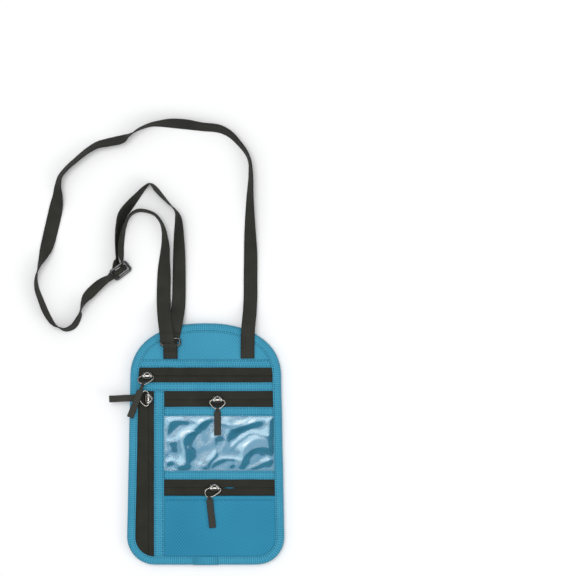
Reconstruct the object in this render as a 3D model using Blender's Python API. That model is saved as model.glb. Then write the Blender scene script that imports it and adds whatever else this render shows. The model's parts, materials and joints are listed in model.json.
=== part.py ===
"""Neck pouch wallet: a flat zipped travel pouch on an adjustable webbing neck strap.

The pouch lies on its back with its front up (+Z) and its strap side towards +Y. The origin is the
middle of its footprint on the surface that it lies on. Design values are in millimetres.
"""

import math

import bmesh
import bpy
from mathutils import Matrix, Vector

MM = 0.001

# pouch outline
HALF_WIDTH_LOW = 71.0  # at the bottom corners
HALF_WIDTH_HIGH = 68.1  # where the arch begins
HALF_HEIGHT = 109.0
ARCH_RISE = 48.7
ARCH_POWER = 2.25  # superellipse exponent of the arched top
CORNER_RADIUS = 25.0
SHOULDER_Y = HALF_HEIGHT - ARCH_RISE
CORNER_Y = CORNER_RADIUS - HALF_HEIGHT

# layers, from the back up
TOUCH_GAP = 0.3
BINDING = 0.6
PANEL = 0.5
SLIP_POCKET_MOUTH = 4.7
MESH_Z = (0.0, 0.4)
POCKET_BINDING_Z = (0.0, 0.8)
BACK_LOW = POCKET_BINDING_Z[1] + SLIP_POCKET_MOUTH
BACK_Z = (BACK_LOW, BACK_LOW + PANEL)
LINING_Z = (BACK_Z[1] + TOUCH_GAP, BACK_Z[1] + 2 * TOUCH_GAP)
COIL_Z = (LINING_Z[1] + TOUCH_GAP, LINING_Z[1] + TOUCH_GAP + 0.8)
WINDOW_BACKING_Z = (COIL_Z[0], COIL_Z[0] + 0.4)
FRONT_Z = (COIL_Z[1] + TOUCH_GAP, COIL_Z[1] + TOUCH_GAP + PANEL)
TRIM_Z = (FRONT_Z[1] + TOUCH_GAP, FRONT_Z[1] + TOUCH_GAP + BINDING)
TOP_Z = TRIM_Z[1]

# bindings
LIP = 7.6  # how far the edge binding reaches over the panels
BINDING_WALL = 0.8
PANEL_INSET = 2.2
TRIM_INSET = LIP + TOUCH_GAP
SEAM_BINDING_Y = (69.2, 76.4)
TOP_ZIP_BINDING_Y = (48.0, 55.7)
WINDOW_TOP_BINDING_Y = (25.5, 33.6)
WINDOW_BOTTOM_BINDING_Y = (-31.8, -24.1)
COLUMN_BINDING_X = (-46.5, -37.4)
POCKET_BINDING_Y = (51.3, 59.0)

# zips
ZIP_SLOT = 1.0
TOP_ZIP_Y = 61.6
MIDDLE_ZIP_Y = 40.0
LOWER_ZIP_Y = -39.5
SIDE_ZIP_X = -51.4
COIL_WIDTH = 3.2
COLUMN_MIDDLE_X = sum(COLUMN_BINDING_X) / 2

# sliders, rings and pull tabs
SLIDER_PLATE_Z = (TRIM_Z[0], TRIM_Z[0] + 1.0)
CROWN_TOP = 4.5  # above the plate's underside
PIVOT_Z = SLIDER_PLATE_Z[0] + 2.7
RING_WIRE = 1.3
RING_REACH = 8.0
RING_HALF_WIDTH = 6.8
PIVOT_HOLE_RADIUS = 1.1
EYELET_RADIUS = 1.8
TAB_WIDTH = 6.3
TAB_NECK_WIDTH = 3.2
TAB_Z = (-1.7, -0.2)  # below and above the ring's end wire

# strap
WEBBING_WIDTH = 12.7
WEBBING_THICKNESS = 1.1
STRAP_RING_WIRE = 2.0
STRAP_RING_Z = 12.2
STRAP_RING_Y = (89.2, 95.6)
STRAP_RING_WIDTH = 17.0
STRAP_TAB_X = -31.6
ADJUSTER_CENTRE = (-76.9, 156.7, 6.2)
ADJUSTER_BAR_ANGLE = math.radians(37)
ADJUSTER_LEAN = math.radians(35)

PARTS = bpy.data.collections.new("neck_pouch_wallet")
CUTTERS = bpy.data.collections.new("cutters")


# ---------------------------------------------------------------- materials

def material(name, color, roughness, metallic=0.0, alpha=1.0):
    made = bpy.data.materials.get(name)
    if made:
        return made
    made = bpy.data.materials.new(name)
    made.use_nodes = True
    shader = made.node_tree.nodes["Principled BSDF"]
    shader.inputs["Base Color"].default_value = (*color, 1.0)
    shader.inputs["Roughness"].default_value = roughness
    shader.inputs["Metallic"].default_value = metallic
    shader.inputs["Alpha"].default_value = alpha
    return made


def blue_fabric():
    return material("blue_fabric", (0.035, 0.23, 0.36), 0.75)


def blue_binding():
    return material("blue_binding", (0.06, 0.29, 0.42), 0.8)


def black_mesh():
    return material("black_mesh", (0.012, 0.012, 0.012), 0.9)


def zip_tape():
    return material("zip_tape", (0.022, 0.022, 0.02), 0.85)


def zip_coil():
    return material("zip_coil", (0.015, 0.015, 0.015), 0.5)


def clear_film():
    return material("clear_film", (0.75, 0.85, 0.9), 0.08, alpha=0.35)


def nickel():
    return material("nickel", (0.6, 0.58, 0.55), 0.25, metallic=1.0)


def pull_rubber():
    return material("pull_rubber", (0.02, 0.02, 0.02), 0.6)


def black_webbing():
    return material("black_webbing", (0.02, 0.02, 0.018), 0.8)


def black_plastic():
    return material("black_plastic", (0.015, 0.015, 0.017), 0.25)


# ---------------------------------------------------------------- outline

def half_width(y, inset):
    """Half the pouch's width at height y, for an outline moved in by inset."""
    if y >= SHOULDER_Y:
        rise = min((y - SHOULDER_Y) / (ARCH_RISE - inset), 1.0)
        return (HALF_WIDTH_HIGH - inset) * (1.0 - rise**ARCH_POWER) ** (1.0 / ARCH_POWER)
    if y >= CORNER_Y:
        share = (y - CORNER_Y) / (SHOULDER_Y - CORNER_Y)
        return HALF_WIDTH_LOW + (HALF_WIDTH_HIGH - HALF_WIDTH_LOW) * share - inset
    radius = CORNER_RADIUS - inset
    drop = min(CORNER_Y - y, radius)
    return HALF_WIDTH_LOW - CORNER_RADIUS + math.sqrt(radius**2 - drop**2)


def right_side(inset, corner_steps=6, arch_steps=14):
    """The outline's right half from the middle of the bottom to the top."""
    radius = CORNER_RADIUS - inset
    points = [(0.0, inset - HALF_HEIGHT)]
    corner_x = HALF_WIDTH_LOW - CORNER_RADIUS
    for step in range(corner_steps + 1):
        angle = math.pi / 2 * (step / corner_steps - 1.0)
        points.append((corner_x + radius * math.cos(angle), CORNER_Y + radius * math.sin(angle)))
    for step in range(arch_steps + 1):
        angle = math.pi / 2 * step / arch_steps
        points.append(
            (
                (HALF_WIDTH_HIGH - inset) * abs(math.cos(angle)) ** (2.0 / ARCH_POWER),
                SHOULDER_Y + (ARCH_RISE - inset) * math.sin(angle) ** (2.0 / ARCH_POWER),
            )
        )
    return points


def outline(inset):
    right = right_side(inset)
    left = [(-x, y) for x, y in reversed(right[1:-1])]
    return right[:-1] + [(0.0, HALF_HEIGHT - inset)] + left


def band(y_low, y_high, inset, x_left=None, x_right=None):
    """The part of the outline between two heights, and between two sides where they are given."""
    y_low = max(y_low, inset - HALF_HEIGHT)
    y_high = min(y_high, HALF_HEIGHT - inset)
    marks = {y_low, y_high}
    for step in range(1, 12):
        marks.add(CORNER_Y - (step / 12) ** 0.5 * (CORNER_RADIUS - inset))
        marks.add(SHOULDER_Y + step * ARCH_RISE / 12)
    marks |= {CORNER_Y, SHOULDER_Y, HALF_HEIGHT - inset - 1.0, HALF_HEIGHT - inset - 0.2}
    heights = sorted(y for y in marks if y_low <= y <= y_high)
    right = []
    left = []
    for y in heights:
        reach = half_width(y, inset)
        right.append((reach if x_right is None else min(reach, x_right), y))
        left.append((-reach if x_left is None else max(-reach, x_left), y))
    points = []
    for point in right + left[::-1]:
        if not points or math.dist(point, points[-1]) > 0.05:
            points.append(point)
    if math.dist(points[0], points[-1]) < 0.05:
        points.pop()
    return points


def rectangle(x_low, x_high, y_low, y_high):
    return [(x_low, y_low), (x_high, y_low), (x_high, y_high), (x_low, y_high)]


def circle(centre, radius, sides=12):
    return [
        (
            centre[0] + radius * math.cos(2 * math.pi * step / sides),
            centre[1] + radius * math.sin(2 * math.pi * step / sides),
        )
        for step in range(sides)
    ]


# ---------------------------------------------------------------- building tools

def add_object(name, data, made_of, collection=PARTS):
    made = bpy.data.objects.new(name, data)
    collection.objects.link(made)
    data.materials.append(made_of)
    return made


def flat_curve(name, loops, thickness):
    """A filled 2D curve, centred on its own plane. The first loop is the outline, the rest are holes."""
    curve = bpy.data.curves.new(name, "CURVE")
    curve.dimensions = "2D"
    curve.fill_mode = "BOTH"
    curve.extrude = thickness * MM / 2
    curve.resolution_u = 1
    curve.render_resolution_u = 0
    for loop in loops:
        spline = curve.splines.new("POLY")
        spline.points.add(len(loop) - 1)
        spline.use_cyclic_u = True
        for point, (x, y) in zip(spline.points, loop):
            point.co = (x * MM, y * MM, 0.0, 1.0)
    return curve


def plate(name, loops, z_range, made_of, collection=PARTS):
    curve = flat_curve(name, loops, z_range[1] - z_range[0])
    made = add_object(name, curve, made_of, collection)
    made.location.z = sum(z_range) / 2 * MM
    return made


def as_mesh(curve_object):
    """Replaces a curve object by a mesh with its caps welded, so that it can be cut and joined."""
    bpy.context.view_layer.update()
    graph = bpy.context.evaluated_depsgraph_get()
    mesh = bpy.data.meshes.new_from_object(curve_object.evaluated_get(graph))
    shape = bmesh.new()
    shape.from_mesh(mesh)
    bmesh.ops.remove_doubles(shape, verts=shape.verts, dist=0.00001)
    bmesh.ops.recalc_face_normals(shape, faces=shape.faces)
    shape.to_mesh(mesh)
    shape.free()
    name = curve_object.name
    place = curve_object.matrix_world.copy()
    collection = curve_object.users_collection[0]
    bpy.data.objects.remove(curve_object)
    made = bpy.data.objects.new(name, mesh)
    made.matrix_world = place
    collection.objects.link(made)
    return made


def profile_bar(name, loops, length, made_of, collection=PARTS):
    """A profile drawn in the Y-Z plane, made length long along X about the origin."""
    made = add_object(name, flat_curve(name, loops, length), made_of, collection)
    made.matrix_world = Matrix(((0, 0, 1, 0), (1, 0, 0, 0), (0, 1, 0, 0), (0, 0, 0, 1)))
    return made


def combine(base, operation, *others):
    for other in others:
        other.hide_render = True
        other.display_type = "WIRE"
        joint = base.modifiers.new(other.name, "BOOLEAN")
        joint.operation = operation
        joint.solver = "EXACT"
        joint.object = other


def wire(name, points, radius, made_of, cyclic=False):
    curve = bpy.data.curves.new(name, "CURVE")
    curve.dimensions = "3D"
    curve.bevel_depth = radius * MM
    curve.bevel_resolution = 1
    curve.resolution_u = 1
    curve.render_resolution_u = 0
    curve.use_fill_caps = not cyclic
    spline = curve.splines.new("POLY")
    spline.points.add(len(points) - 1)
    spline.use_cyclic_u = cyclic
    for point, place in zip(spline.points, points):
        point.co = (*(value * MM for value in place), 1.0)
    return add_object(name, curve, made_of)


def spline_through(points, count, cyclic=False):
    """count points, evenly spread along a smooth curve through points of any dimension."""
    size = len(points)
    spans = size if cyclic else size - 1

    def knot(index):
        if cyclic:
            return Vector(points[index % size])
        return Vector(points[min(max(index, 0), size - 1)])

    fine = []
    for span in range(spans):
        before, start, end, after = (knot(span + shift) for shift in (-1, 0, 1, 2))
        chords = [max((b - a).length, 1e-6) for a, b in ((before, start), (start, end), (end, after))]
        slope_start = ((start - before) / chords[0] + (end - start) / chords[1]) / 2
        slope_end = ((end - start) / chords[1] + (after - end) / chords[2]) / 2
        for step in range(16):
            t = step / 16
            fine.append(
                start * (2 * t**3 - 3 * t**2 + 1)
                + slope_start * chords[1] * (t**3 - 2 * t**2 + t)
                + end * (3 * t**2 - 2 * t**3)
                + slope_end * chords[1] * (t**3 - t**2)
            )
    fine.append(knot(spans))
    travelled = [0.0]
    for a, b in zip(fine, fine[1:]):
        travelled.append(travelled[-1] + (b - a).to_3d().length)
    places = []
    index = 0
    for step in range(count):
        goal = travelled[-1] * step / (count if cyclic else count - 1)
        while index < len(fine) - 2 and travelled[index + 1] < goal:
            index += 1
        share = (goal - travelled[index]) / max(travelled[index + 1] - travelled[index], 1e-9)
        places.append(fine[index].lerp(fine[index + 1], min(share, 1.0)))
    return places


# ---------------------------------------------------------------- pouch layers

def edge_binding():
    """The folded tape round the edge: a channel section carried round the outline."""
    wall = BINDING_WALL
    section = [
        (LIP, 0.0), (1.6, 0.0), (0.45, 0.45), (0.0, 1.6),
        (0.0, TOP_Z - 1.6), (0.45, TOP_Z - 0.45), (1.6, TOP_Z), (LIP, TOP_Z),
        (LIP, TOP_Z - BINDING), (wall + 0.9, TOP_Z - BINDING), (wall, TOP_Z - 1.6),
        (wall, 1.6), (wall + 0.9, BINDING), (LIP, BINDING),
    ]
    shape = bmesh.new()
    rings = []
    for inset, z in section:
        rings.append([shape.verts.new((x * MM, y * MM, z * MM)) for x, y in outline(inset)])
    count = len(rings[0])
    for ring, following in zip(rings, rings[1:] + rings[:1]):
        for place in range(count):
            after = (place + 1) % count
            shape.faces.new((ring[place], ring[after], following[after], following[place]))
    bmesh.ops.recalc_face_normals(shape, faces=shape.faces)
    mesh = bpy.data.meshes.new("perimeter_binding")
    shape.to_mesh(mesh)
    shape.free()
    add_object("perimeter_binding", mesh, blue_binding())


def back_layers():
    mesh = band(-HALF_HEIGHT, POCKET_BINDING_Y[0] - TOUCH_GAP, TRIM_INSET)
    plate("back_mesh_pocket", [mesh], MESH_Z, black_mesh())
    plate("back_pocket_binding", [band(*POCKET_BINDING_Y, TRIM_INSET)], POCKET_BINDING_Z, blue_binding())
    plate("back_panel", [outline(PANEL_INSET)], BACK_Z, blue_fabric())
    plate("pocket_lining", [band(-HALF_HEIGHT, TOP_ZIP_Y - 3.0, PANEL_INSET)], LINING_Z, blue_fabric())


def front_panels():
    tape_edge = (SEAM_BINDING_Y[0] + SEAM_BINDING_Y[1]) / 2
    plate("arch_panel", [band(tape_edge + 0.2, HALF_HEIGHT, PANEL_INSET)], FRONT_Z, blue_fabric())
    plate(
        "lower_panel",
        [band(-HALF_HEIGHT, LOWER_ZIP_Y - 7.2, PANEL_INSET, x_left=COLUMN_MIDDLE_X + 0.2)],
        FRONT_Z,
        blue_fabric(),
    )
    window = band(
        sum(WINDOW_BOTTOM_BINDING_Y) / 2 + 0.2,
        sum(WINDOW_TOP_BINDING_Y) / 2 - 0.2,
        PANEL_INSET,
        x_left=COLUMN_MIDDLE_X + 0.2,
    )
    plate("window_film", [window], FRONT_Z, clear_film())
    plate("window_backing", [window], WINDOW_BACKING_Z, blue_fabric())


def bindings():
    right_of_column = COLUMN_BINDING_X[1] + TOUCH_GAP
    plate("seam_binding", [band(*SEAM_BINDING_Y, TRIM_INSET)], TRIM_Z, blue_binding())
    plate("top_zip_binding", [band(*TOP_ZIP_BINDING_Y, TRIM_INSET)], TRIM_Z, blue_binding())
    for name, heights in (
        ("window_top_binding", WINDOW_TOP_BINDING_Y),
        ("window_bottom_binding", WINDOW_BOTTOM_BINDING_Y),
    ):
        plate(name, [band(*heights, TRIM_INSET, x_left=right_of_column)], TRIM_Z, blue_binding())
    column_low = TRIM_INSET - HALF_HEIGHT
    column_high = TOP_ZIP_BINDING_Y[0] - TOUCH_GAP
    column = band(column_low, column_high, TRIM_INSET, *COLUMN_BINDING_X)
    plate("column_binding", [column], TRIM_Z, blue_binding())


# ---------------------------------------------------------------- zips

def across_zip(name, y, upper, lower, x_left=None):
    """A zip that runs across the pouch: two tapes with a slot between them, and the coil under it."""
    plate(name + "_tape_upper", [band(y + ZIP_SLOT / 2, upper, PANEL_INSET, x_left)], FRONT_Z, zip_tape())
    plate(name + "_tape_lower", [band(lower, y - ZIP_SLOT / 2, PANEL_INSET, x_left)], FRONT_Z, zip_tape())
    reach = half_width(y, PANEL_INSET) - 0.8
    left = -reach if x_left is None else x_left
    coil = rectangle(left, reach, y - COIL_WIDTH / 2, y + COIL_WIDTH / 2)
    plate(name + "_coil", [coil], COIL_Z, zip_coil())


def side_zip():
    top = sum(TOP_ZIP_BINDING_Y) / 2 - 0.2
    left_edge = SIDE_ZIP_X - ZIP_SLOT / 2
    right_edge = SIDE_ZIP_X + ZIP_SLOT / 2
    tape_left = band(-HALF_HEIGHT, top, PANEL_INSET, x_right=left_edge)
    tape_right = band(-HALF_HEIGHT, top, PANEL_INSET, right_edge, COLUMN_MIDDLE_X - 0.2)
    tape_left = [point for point in tape_left if -half_width(point[1], PANEL_INSET) < left_edge + 0.01]
    plate("side_zip_tape_left", [tape_left], FRONT_Z, zip_tape())
    plate("side_zip_tape_right", [tape_right], FRONT_Z, zip_tape())
    coil = rectangle(SIDE_ZIP_X - COIL_WIDTH / 2, SIDE_ZIP_X + COIL_WIDTH / 2, -100.0, top)
    plate("side_zip_coil", [coil], COIL_Z, zip_coil())


def zips():
    top_lower = sum(TOP_ZIP_BINDING_Y) / 2 + 0.2
    across_zip("top_zip", TOP_ZIP_Y, sum(SEAM_BINDING_Y) / 2 - 0.2, top_lower)
    across_zip(
        "middle_zip",
        MIDDLE_ZIP_Y,
        sum(TOP_ZIP_BINDING_Y) / 2 - 0.2,
        sum(WINDOW_TOP_BINDING_Y) / 2 + 0.2,
        COLUMN_MIDDLE_X + 0.2,
    )
    across_zip(
        "lower_zip",
        LOWER_ZIP_Y,
        sum(WINDOW_BOTTOM_BINDING_Y) / 2 - 0.2,
        LOWER_ZIP_Y - 6.9,
        COLUMN_MIDDLE_X + 0.2,
    )
    side_zip()


# ---------------------------------------------------------------- sliders and pulls

def slider(name, place):
    """Slider body about its pivot: plate, crown with a tunnel for the ring, and a keel in the slot."""
    plate_low = SLIDER_PLATE_Z[0] - PIVOT_Z
    plate_high = SLIDER_PLATE_Z[1] - PIVOT_Z
    crown_high = SLIDER_PLATE_Z[0] + CROWN_TOP - PIVOT_Z
    body = [
        (-5.2, -1.6), (-3.4, -3.8), (3.0, -3.8), (5.2, -2.4),
        (5.2, 2.4), (3.0, 3.8), (-3.4, 3.8), (-5.2, 1.6),
    ]
    base = as_mesh(plate(name, [body], (plate_low, plate_high), nickel()))
    crown = [
        (-2.3, plate_high - 0.3), (2.3, plate_high - 0.3), (2.3, 0.6), (1.5, crown_high - 0.3),
        (0.6, crown_high), (-0.6, crown_high), (-1.5, crown_high - 0.3), (-2.3, 0.6),
    ]
    tunnel = circle((0.0, 0.0), PIVOT_HOLE_RADIUS, 10)
    bridge = as_mesh(profile_bar(name + "_crown", [crown, tunnel], 7.2, nickel(), CUTTERS))
    keel_loop = rectangle(-3.0, 3.0, -0.25, 0.25)
    keel_z = (FRONT_Z[0] + 0.05 - PIVOT_Z, plate_low + 0.3)
    keel = as_mesh(plate(name + "_keel", [keel_loop], keel_z, nickel(), CUTTERS))
    combine(base, "UNION", bridge, keel)
    for piece in (base, bridge, keel):
        piece.matrix_world = place @ piece.matrix_world


def ring_path(end, yaw):
    """The wire ring in its own plane: a straight side through the crown, closing on the tab's eyelet."""
    end_x, end_y = end
    lean = end_x / -end_y
    sides = [(1.5, 0.0), (4.4, 0.0), (6.2, -0.9), (RING_HALF_WIDTH, -2.6), (5.9, -4.4), (3.7, end_y + 1.2)]
    right = [(x - lean * y, y) for x, y in sides]
    left = [(-x - lean * y, y) for x, y in reversed(sides)]
    along = Vector((math.cos(yaw), math.sin(yaw))) * 1.5
    tip = [(end_x + along.x, end_y + along.y), (end_x - along.x, end_y - along.y)]
    return [(x, y, 0.0) for x, y in right + tip + left]


def pull_tab(name, place, neck, length):
    """Pull tab about its hinge at the ring's end: eyelet, narrow neck and wide grip, towards -Y."""
    half_neck = TAB_NECK_WIDTH / 2
    half_tab = TAB_WIDTH / 2
    grip = [
        (half_neck, -0.6), (half_neck, -neck), (half_tab, -neck - 1.8), (half_tab, -length),
        (-half_tab, -length), (-half_tab, -neck - 1.8), (-half_neck, -neck), (-half_neck, -0.6),
    ]
    base = as_mesh(plate(name, [grip], TAB_Z, pull_rubber()))
    rim = circle((0.0, 0.0), EYELET_RADIUS, 14)
    hole = circle((0.0, 0.0), PIVOT_HOLE_RADIUS, 10)
    clearance_hole = circle((0.0, 0.0), PIVOT_HOLE_RADIUS + TOUCH_GAP, 10)
    cutter = as_mesh(profile_bar(name + "_hole", [clearance_hole], 6.0, pull_rubber(), CUTTERS))
    eyelet = as_mesh(profile_bar(name + "_eyelet", [rim, hole], 2.4, pull_rubber(), CUTTERS))
    combine(base, "DIFFERENCE", cutter)
    combine(base, "UNION", eyelet)
    for piece in (base, eyelet, cutter):
        piece.matrix_world = place @ piece.matrix_world


def zip_pull(name, centre, end, turn, tab_yaw, lift, neck, length):
    """A slider with its ring and tab. The pull points along -Y before turn is applied."""
    place = Matrix.Translation(Vector((*centre, PIVOT_Z)) * MM) @ Matrix.Rotation(turn, 4, "Z")
    slider(name + "_slider", place)
    ring = wire(
        name + "_pull_ring",
        [tuple(point) for point in spline_through(ring_path(end, tab_yaw), 26, cyclic=True)],
        RING_WIRE / 2,
        nickel(),
        cyclic=True,
    )
    ring_place = place @ Matrix.Rotation(-lift, 4, "X")
    ring.matrix_world = ring_place
    hinge = ring_place @ (Vector((*end, 0.0)) * MM)
    tab_place = Matrix.Translation(hinge) @ Matrix.Rotation(turn + tab_yaw, 4, "Z")
    pull_tab(name + "_pull_tab", tab_place, neck, length)


def zip_pulls():
    for name, centre, turn, end_shift, tab_yaw, lift, neck, length in (
        ("top_zip", (-52.5, TOP_ZIP_Y), 0, -3.6, -21, 30, 9.0, 32.5),
        ("middle_zip", (10.8, MIDDLE_ZIP_Y), 0, 0.0, 0, 0, 4.0, 24.0),
        ("lower_zip", (8.1, LOWER_ZIP_Y), 0, -4.6, 6, 0, 4.5, 28.0),
        ("side_zip", (SIDE_ZIP_X, 41.0), -90, -1.2, 3, 0, 4.5, 27.5),
    ):
        angles = [math.radians(angle) for angle in (turn, tab_yaw, lift)]
        zip_pull(name, centre, (end_shift, -RING_REACH), *angles, neck, length)


# ---------------------------------------------------------------- strap

def lying(points):
    """Route points as (x, y, rise, tilt) with the webbing standing on the surface that rise gives.

    tilt is 0 where the webbing stands on its edge and 90 or -90 degrees where it lies flat.
    """
    placed = []
    for x, y, rise, tilt in points:
        turn = math.radians(tilt)
        height = WEBBING_WIDTH / 2 * abs(math.cos(turn)) + WEBBING_THICKNESS / 2 * abs(math.sin(turn))
        placed.append((x, y, rise + height, tilt))
    return placed


def ribbon(name, route, count):
    """Webbing as a curve that is extruded across its width and tilted along its length."""
    curve = bpy.data.curves.new(name, "CURVE")
    curve.dimensions = "3D"
    curve.twist_mode = "Z_UP"
    curve.extrude = (WEBBING_WIDTH - WEBBING_THICKNESS) / 2 * MM
    curve.bevel_depth = WEBBING_THICKNESS / 2 * MM
    curve.bevel_resolution = 0
    curve.resolution_u = 1
    curve.render_resolution_u = 0
    curve.use_fill_caps = True
    spline = curve.splines.new("POLY")
    spline.points.add(count - 1)
    for point, (x, y, z, tilt) in zip(spline.points, spline_through(lying(route), count)):
        point.co = (x * MM, y * MM, z * MM, 1.0)
        point.tilt = math.radians(tilt)
    return add_object(name, curve, black_webbing())


NECK_STRAP = [
    (37.9, 77.4, 8.9, 90), (37.9, 88.0, 9.8, 90), (38.1, 98.0, 10.4, 90), (38.6, 106.0, 10.4, 90),
    (39.3, 113.5, 7.0, 88), (39.9, 121.0, 3.0, 84), (40.4, 132.0, 0.6, 80), (40.5, 150.0, 0.2, 78),
    (40.6, 170.0, 0.1, 72),
    (40.1, 193.0, 0.1, 52), (40.1, 222.0, 0.1, 30), (40.7, 247.0, 0.1, 16), (39.6, 256.5, 0.1, 12),
    (36.5, 263.6, 0.1, 14), (30.2, 271.8, 0.1, 18), (22.0, 280.0, 0.1, 24), (12.2, 284.8, 0.1, 30),
    (-3.2, 286.6, 0.1, 32), (-18.5, 288.9, 0.1, 40), (-30.2, 289.8, 0.1, 36), (-42.0, 289.4, 0.1, 20),
    (-50.5, 288.2, 0.1, 10), (-59.0, 285.0, 0.1, 4), (-68.5, 279.4, 0.1, -12), (-77.8, 274.6, 0.1, -40),
    (-88.4, 272.4, 0.1, -38), (-98.0, 270.0, 0.1, -32), (-107.0, 264.8, 0.1, -27), (-116.4, 257.2, 0.1, -24),
    (-125.4, 249.2, 0.1, -22), (-131.2, 242.2, 0.1, -22), (-133.4, 233.6, 0.1, -30),
    (-133.8, 223.6, 0.1, -50), (-136.6, 208.6, 0.1, -84), (-140.2, 193.0, 0.1, -88),
    (-143.2, 180.4, 0.1, -74), (-146.6, 169.8, 0.1, -42), (-151.0, 159.2, 0.1, -12),
    (-153.2, 149.2, 0.1, 4), (-152.4, 140.0, 0.1, 12), (-149.2, 130.8, 0.1, 16), (-144.2, 118.6, 0.1, 18),
    (-138.2, 109.0, 0.1, 10), (-132.6, 105.2, 0.1, -4), (-126.4, 103.2, 0.1, -14), (-119.4, 106.4, 0.1, -20),
    (-114.4, 114.4, 0.1, -14), (-113.0, 120.8, 0.1, 4), (-109.8, 129.0, 0.1, 28), (-104.4, 136.2, 0.1, 48),
    (-96.6, 143.6, 0.1, 44), (-91.0, 147.6, 0.1, 34), (-88.0, 149.4, 0.2, 28),
]

LOOP_OUTER = [
    (-80.0, 167.6, 0.3, -4), (-80.4, 173.0, 0.1, -4), (-80.4, 180.0, 0.1, -8), (-79.8, 187.4, 0.1, -14),
    (-78.2, 197.0, 0.1, -24), (-74.2, 208.6, 0.1, -38), (-67.8, 217.0, 0.1, -32), (-61.0, 225.0, 0.1, -20),
    (-55.2, 231.6, 0.1, -10), (-50.2, 235.2, 0.1, 2), (-45.0, 230.4, 0.1, 16), (-38.8, 223.2, 0.1, 12),
    (-33.0, 217.0, 0.1, 4), (-27.8, 211.6, 0.1, -6), (-24.6, 203.0, 0.1, -30), (-24.2, 187.0, 0.1, -48),
    (-24.0, 167.0, 0.1, -64), (-24.2, 147.0, 0.2, -72), (-24.4, 132.0, 0.6, -78), (-25.0, 122.0, 2.8, -84),
    (-26.0, 114.5, 7.9, -88), (-27.9, 107.0, 10.9, -90), (-29.7, 100.3, 9.8, -90),
]

LOOP_INNER = [
    (-32.9, 100.3, 13.5, 90), (-34.8, 107.0, 13.0, 90), (-36.5, 114.5, 9.8, 90), (-37.6, 122.5, 5.2, 90),
    (-38.2, 132.0, 1.2, 86), (-37.9, 147.0, 0.2, 80), (-37.2, 166.0, 0.1, 52),
    (-36.4, 178.4, 0.1, 38), (-36.8, 185.4, 0.1, 28),
    (-38.0, 194.0, 0.1, 18), (-40.8, 201.2, 0.1, 12), (-45.8, 207.2, 0.1, 10), (-52.8, 210.2, 0.1, 10),
    (-60.0, 211.0, 0.1, 10), (-65.8, 208.8, 0.1, 8), (-70.2, 203.6, 0.1, 4), (-73.2, 196.0, 0.1, 0),
    (-75.4, 186.8, 0.1, -4), (-76.4, 177.6, 0.1, -4), (-76.2, 172.6, 0.1, -4), (-75.8, 168.0, 0.3, -4),
]


def strap_ring_and_tab():
    outer = [
        (76.8, 8.8), (84.0, 8.8), (90.0, 10.0), (91.3, 11.0), (91.7, 12.3), (91.0, 13.8), (89.4, 14.6),
        (87.7, 14.2), (82.4, 11.0), (76.8, 10.7),
    ]
    eye = circle((STRAP_RING_Y[0], STRAP_RING_Z), 1.5, 12)
    tab = profile_bar("strap_tab", [outer, eye], 13.6, black_webbing())
    tab.location.x = STRAP_TAB_X * MM
    half = STRAP_RING_WIDTH / 2
    near, far = STRAP_RING_Y
    corner = 1.6
    corners = [
        (half - corner, near), (half, near + corner), (half, far - corner), (half - corner, far),
        (corner - half, far), (-half, far - corner), (-half, near + corner), (corner - half, near),
    ]
    loop = [(STRAP_TAB_X + x, y, STRAP_RING_Z) for x, y in corners]
    wire("strap_ring", loop, STRAP_RING_WIRE / 2, nickel(), cyclic=True)
    inner = 1.35
    outer = inner + WEBBING_THICKNESS
    turns = [math.radians(90 + 180 * step / 8) for step in range(9)]
    leg = 2.9
    fold = [(leg, outer)] + [(outer * math.cos(a), outer * math.sin(a)) for a in turns] + [(leg, -outer)]
    fold += [(leg, -inner)]
    fold += [(inner * math.cos(a), inner * math.sin(a)) for a in reversed(turns)] + [(leg, inner)]
    section = [(STRAP_RING_Y[1] + y, STRAP_RING_Z + z) for y, z in fold]
    turned = profile_bar("strap_ring_fold", [section], WEBBING_WIDTH, black_webbing())
    turned.location.x = STRAP_TAB_X * MM


def adjuster():
    """Three-bar adjuster, its bars along local X, with the strap's sewn end round the middle bar."""
    place = (
        Matrix.Translation(Vector(ADJUSTER_CENTRE) * MM)
        @ Matrix.Rotation(ADJUSTER_BAR_ANGLE, 4, "Z")
        @ Matrix.Rotation(ADJUSTER_LEAN, 4, "X")
    )
    frame_half = (9.3, 6.6)
    bevel = 1.6
    frame_outline = [
        (frame_half[0] - bevel, -frame_half[1]), (frame_half[0], bevel - frame_half[1]),
        (frame_half[0], frame_half[1] - bevel), (frame_half[0] - bevel, frame_half[1]),
        (bevel - frame_half[0], frame_half[1]), (-frame_half[0], frame_half[1] - bevel),
        (-frame_half[0], bevel - frame_half[1]), (bevel - frame_half[0], -frame_half[1]),
    ]
    slots = [rectangle(-6.9, 6.9, 1.0, 4.7), rectangle(-6.9, 6.9, -4.7, -1.0)]
    frame = plate("strap_adjuster", [frame_outline, *slots], (-1.1, 1.1), black_plastic())
    frame.matrix_world = place
    wrap_half = (2.3, 2.4)
    hole_half = (1.35, 1.45)
    loops = [
        rectangle(-wrap_half[0], wrap_half[0], -wrap_half[1], wrap_half[1]),
        rectangle(-hole_half[0], hole_half[0], -hole_half[1], hole_half[1]),
    ]
    wrap = profile_bar("adjuster_wrap", loops, WEBBING_WIDTH, black_webbing())
    wrap.matrix_world = place @ wrap.matrix_world


def strap():
    ribbon("neck_strap", NECK_STRAP, 50)
    ribbon("strap_loop_outer", LOOP_OUTER, 18)
    ribbon("strap_loop_inner", LOOP_INNER, 15)
    strap_ring_and_tab()
    adjuster()


def main():
    for old in list(bpy.data.objects):
        bpy.data.objects.remove(old)
    bpy.context.scene.collection.children.link(PARTS)
    bpy.context.scene.collection.children.link(CUTTERS)
    back_layers()
    front_panels()
    zips()
    bindings()
    edge_binding()
    zip_pulls()
    strap()


main()
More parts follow.
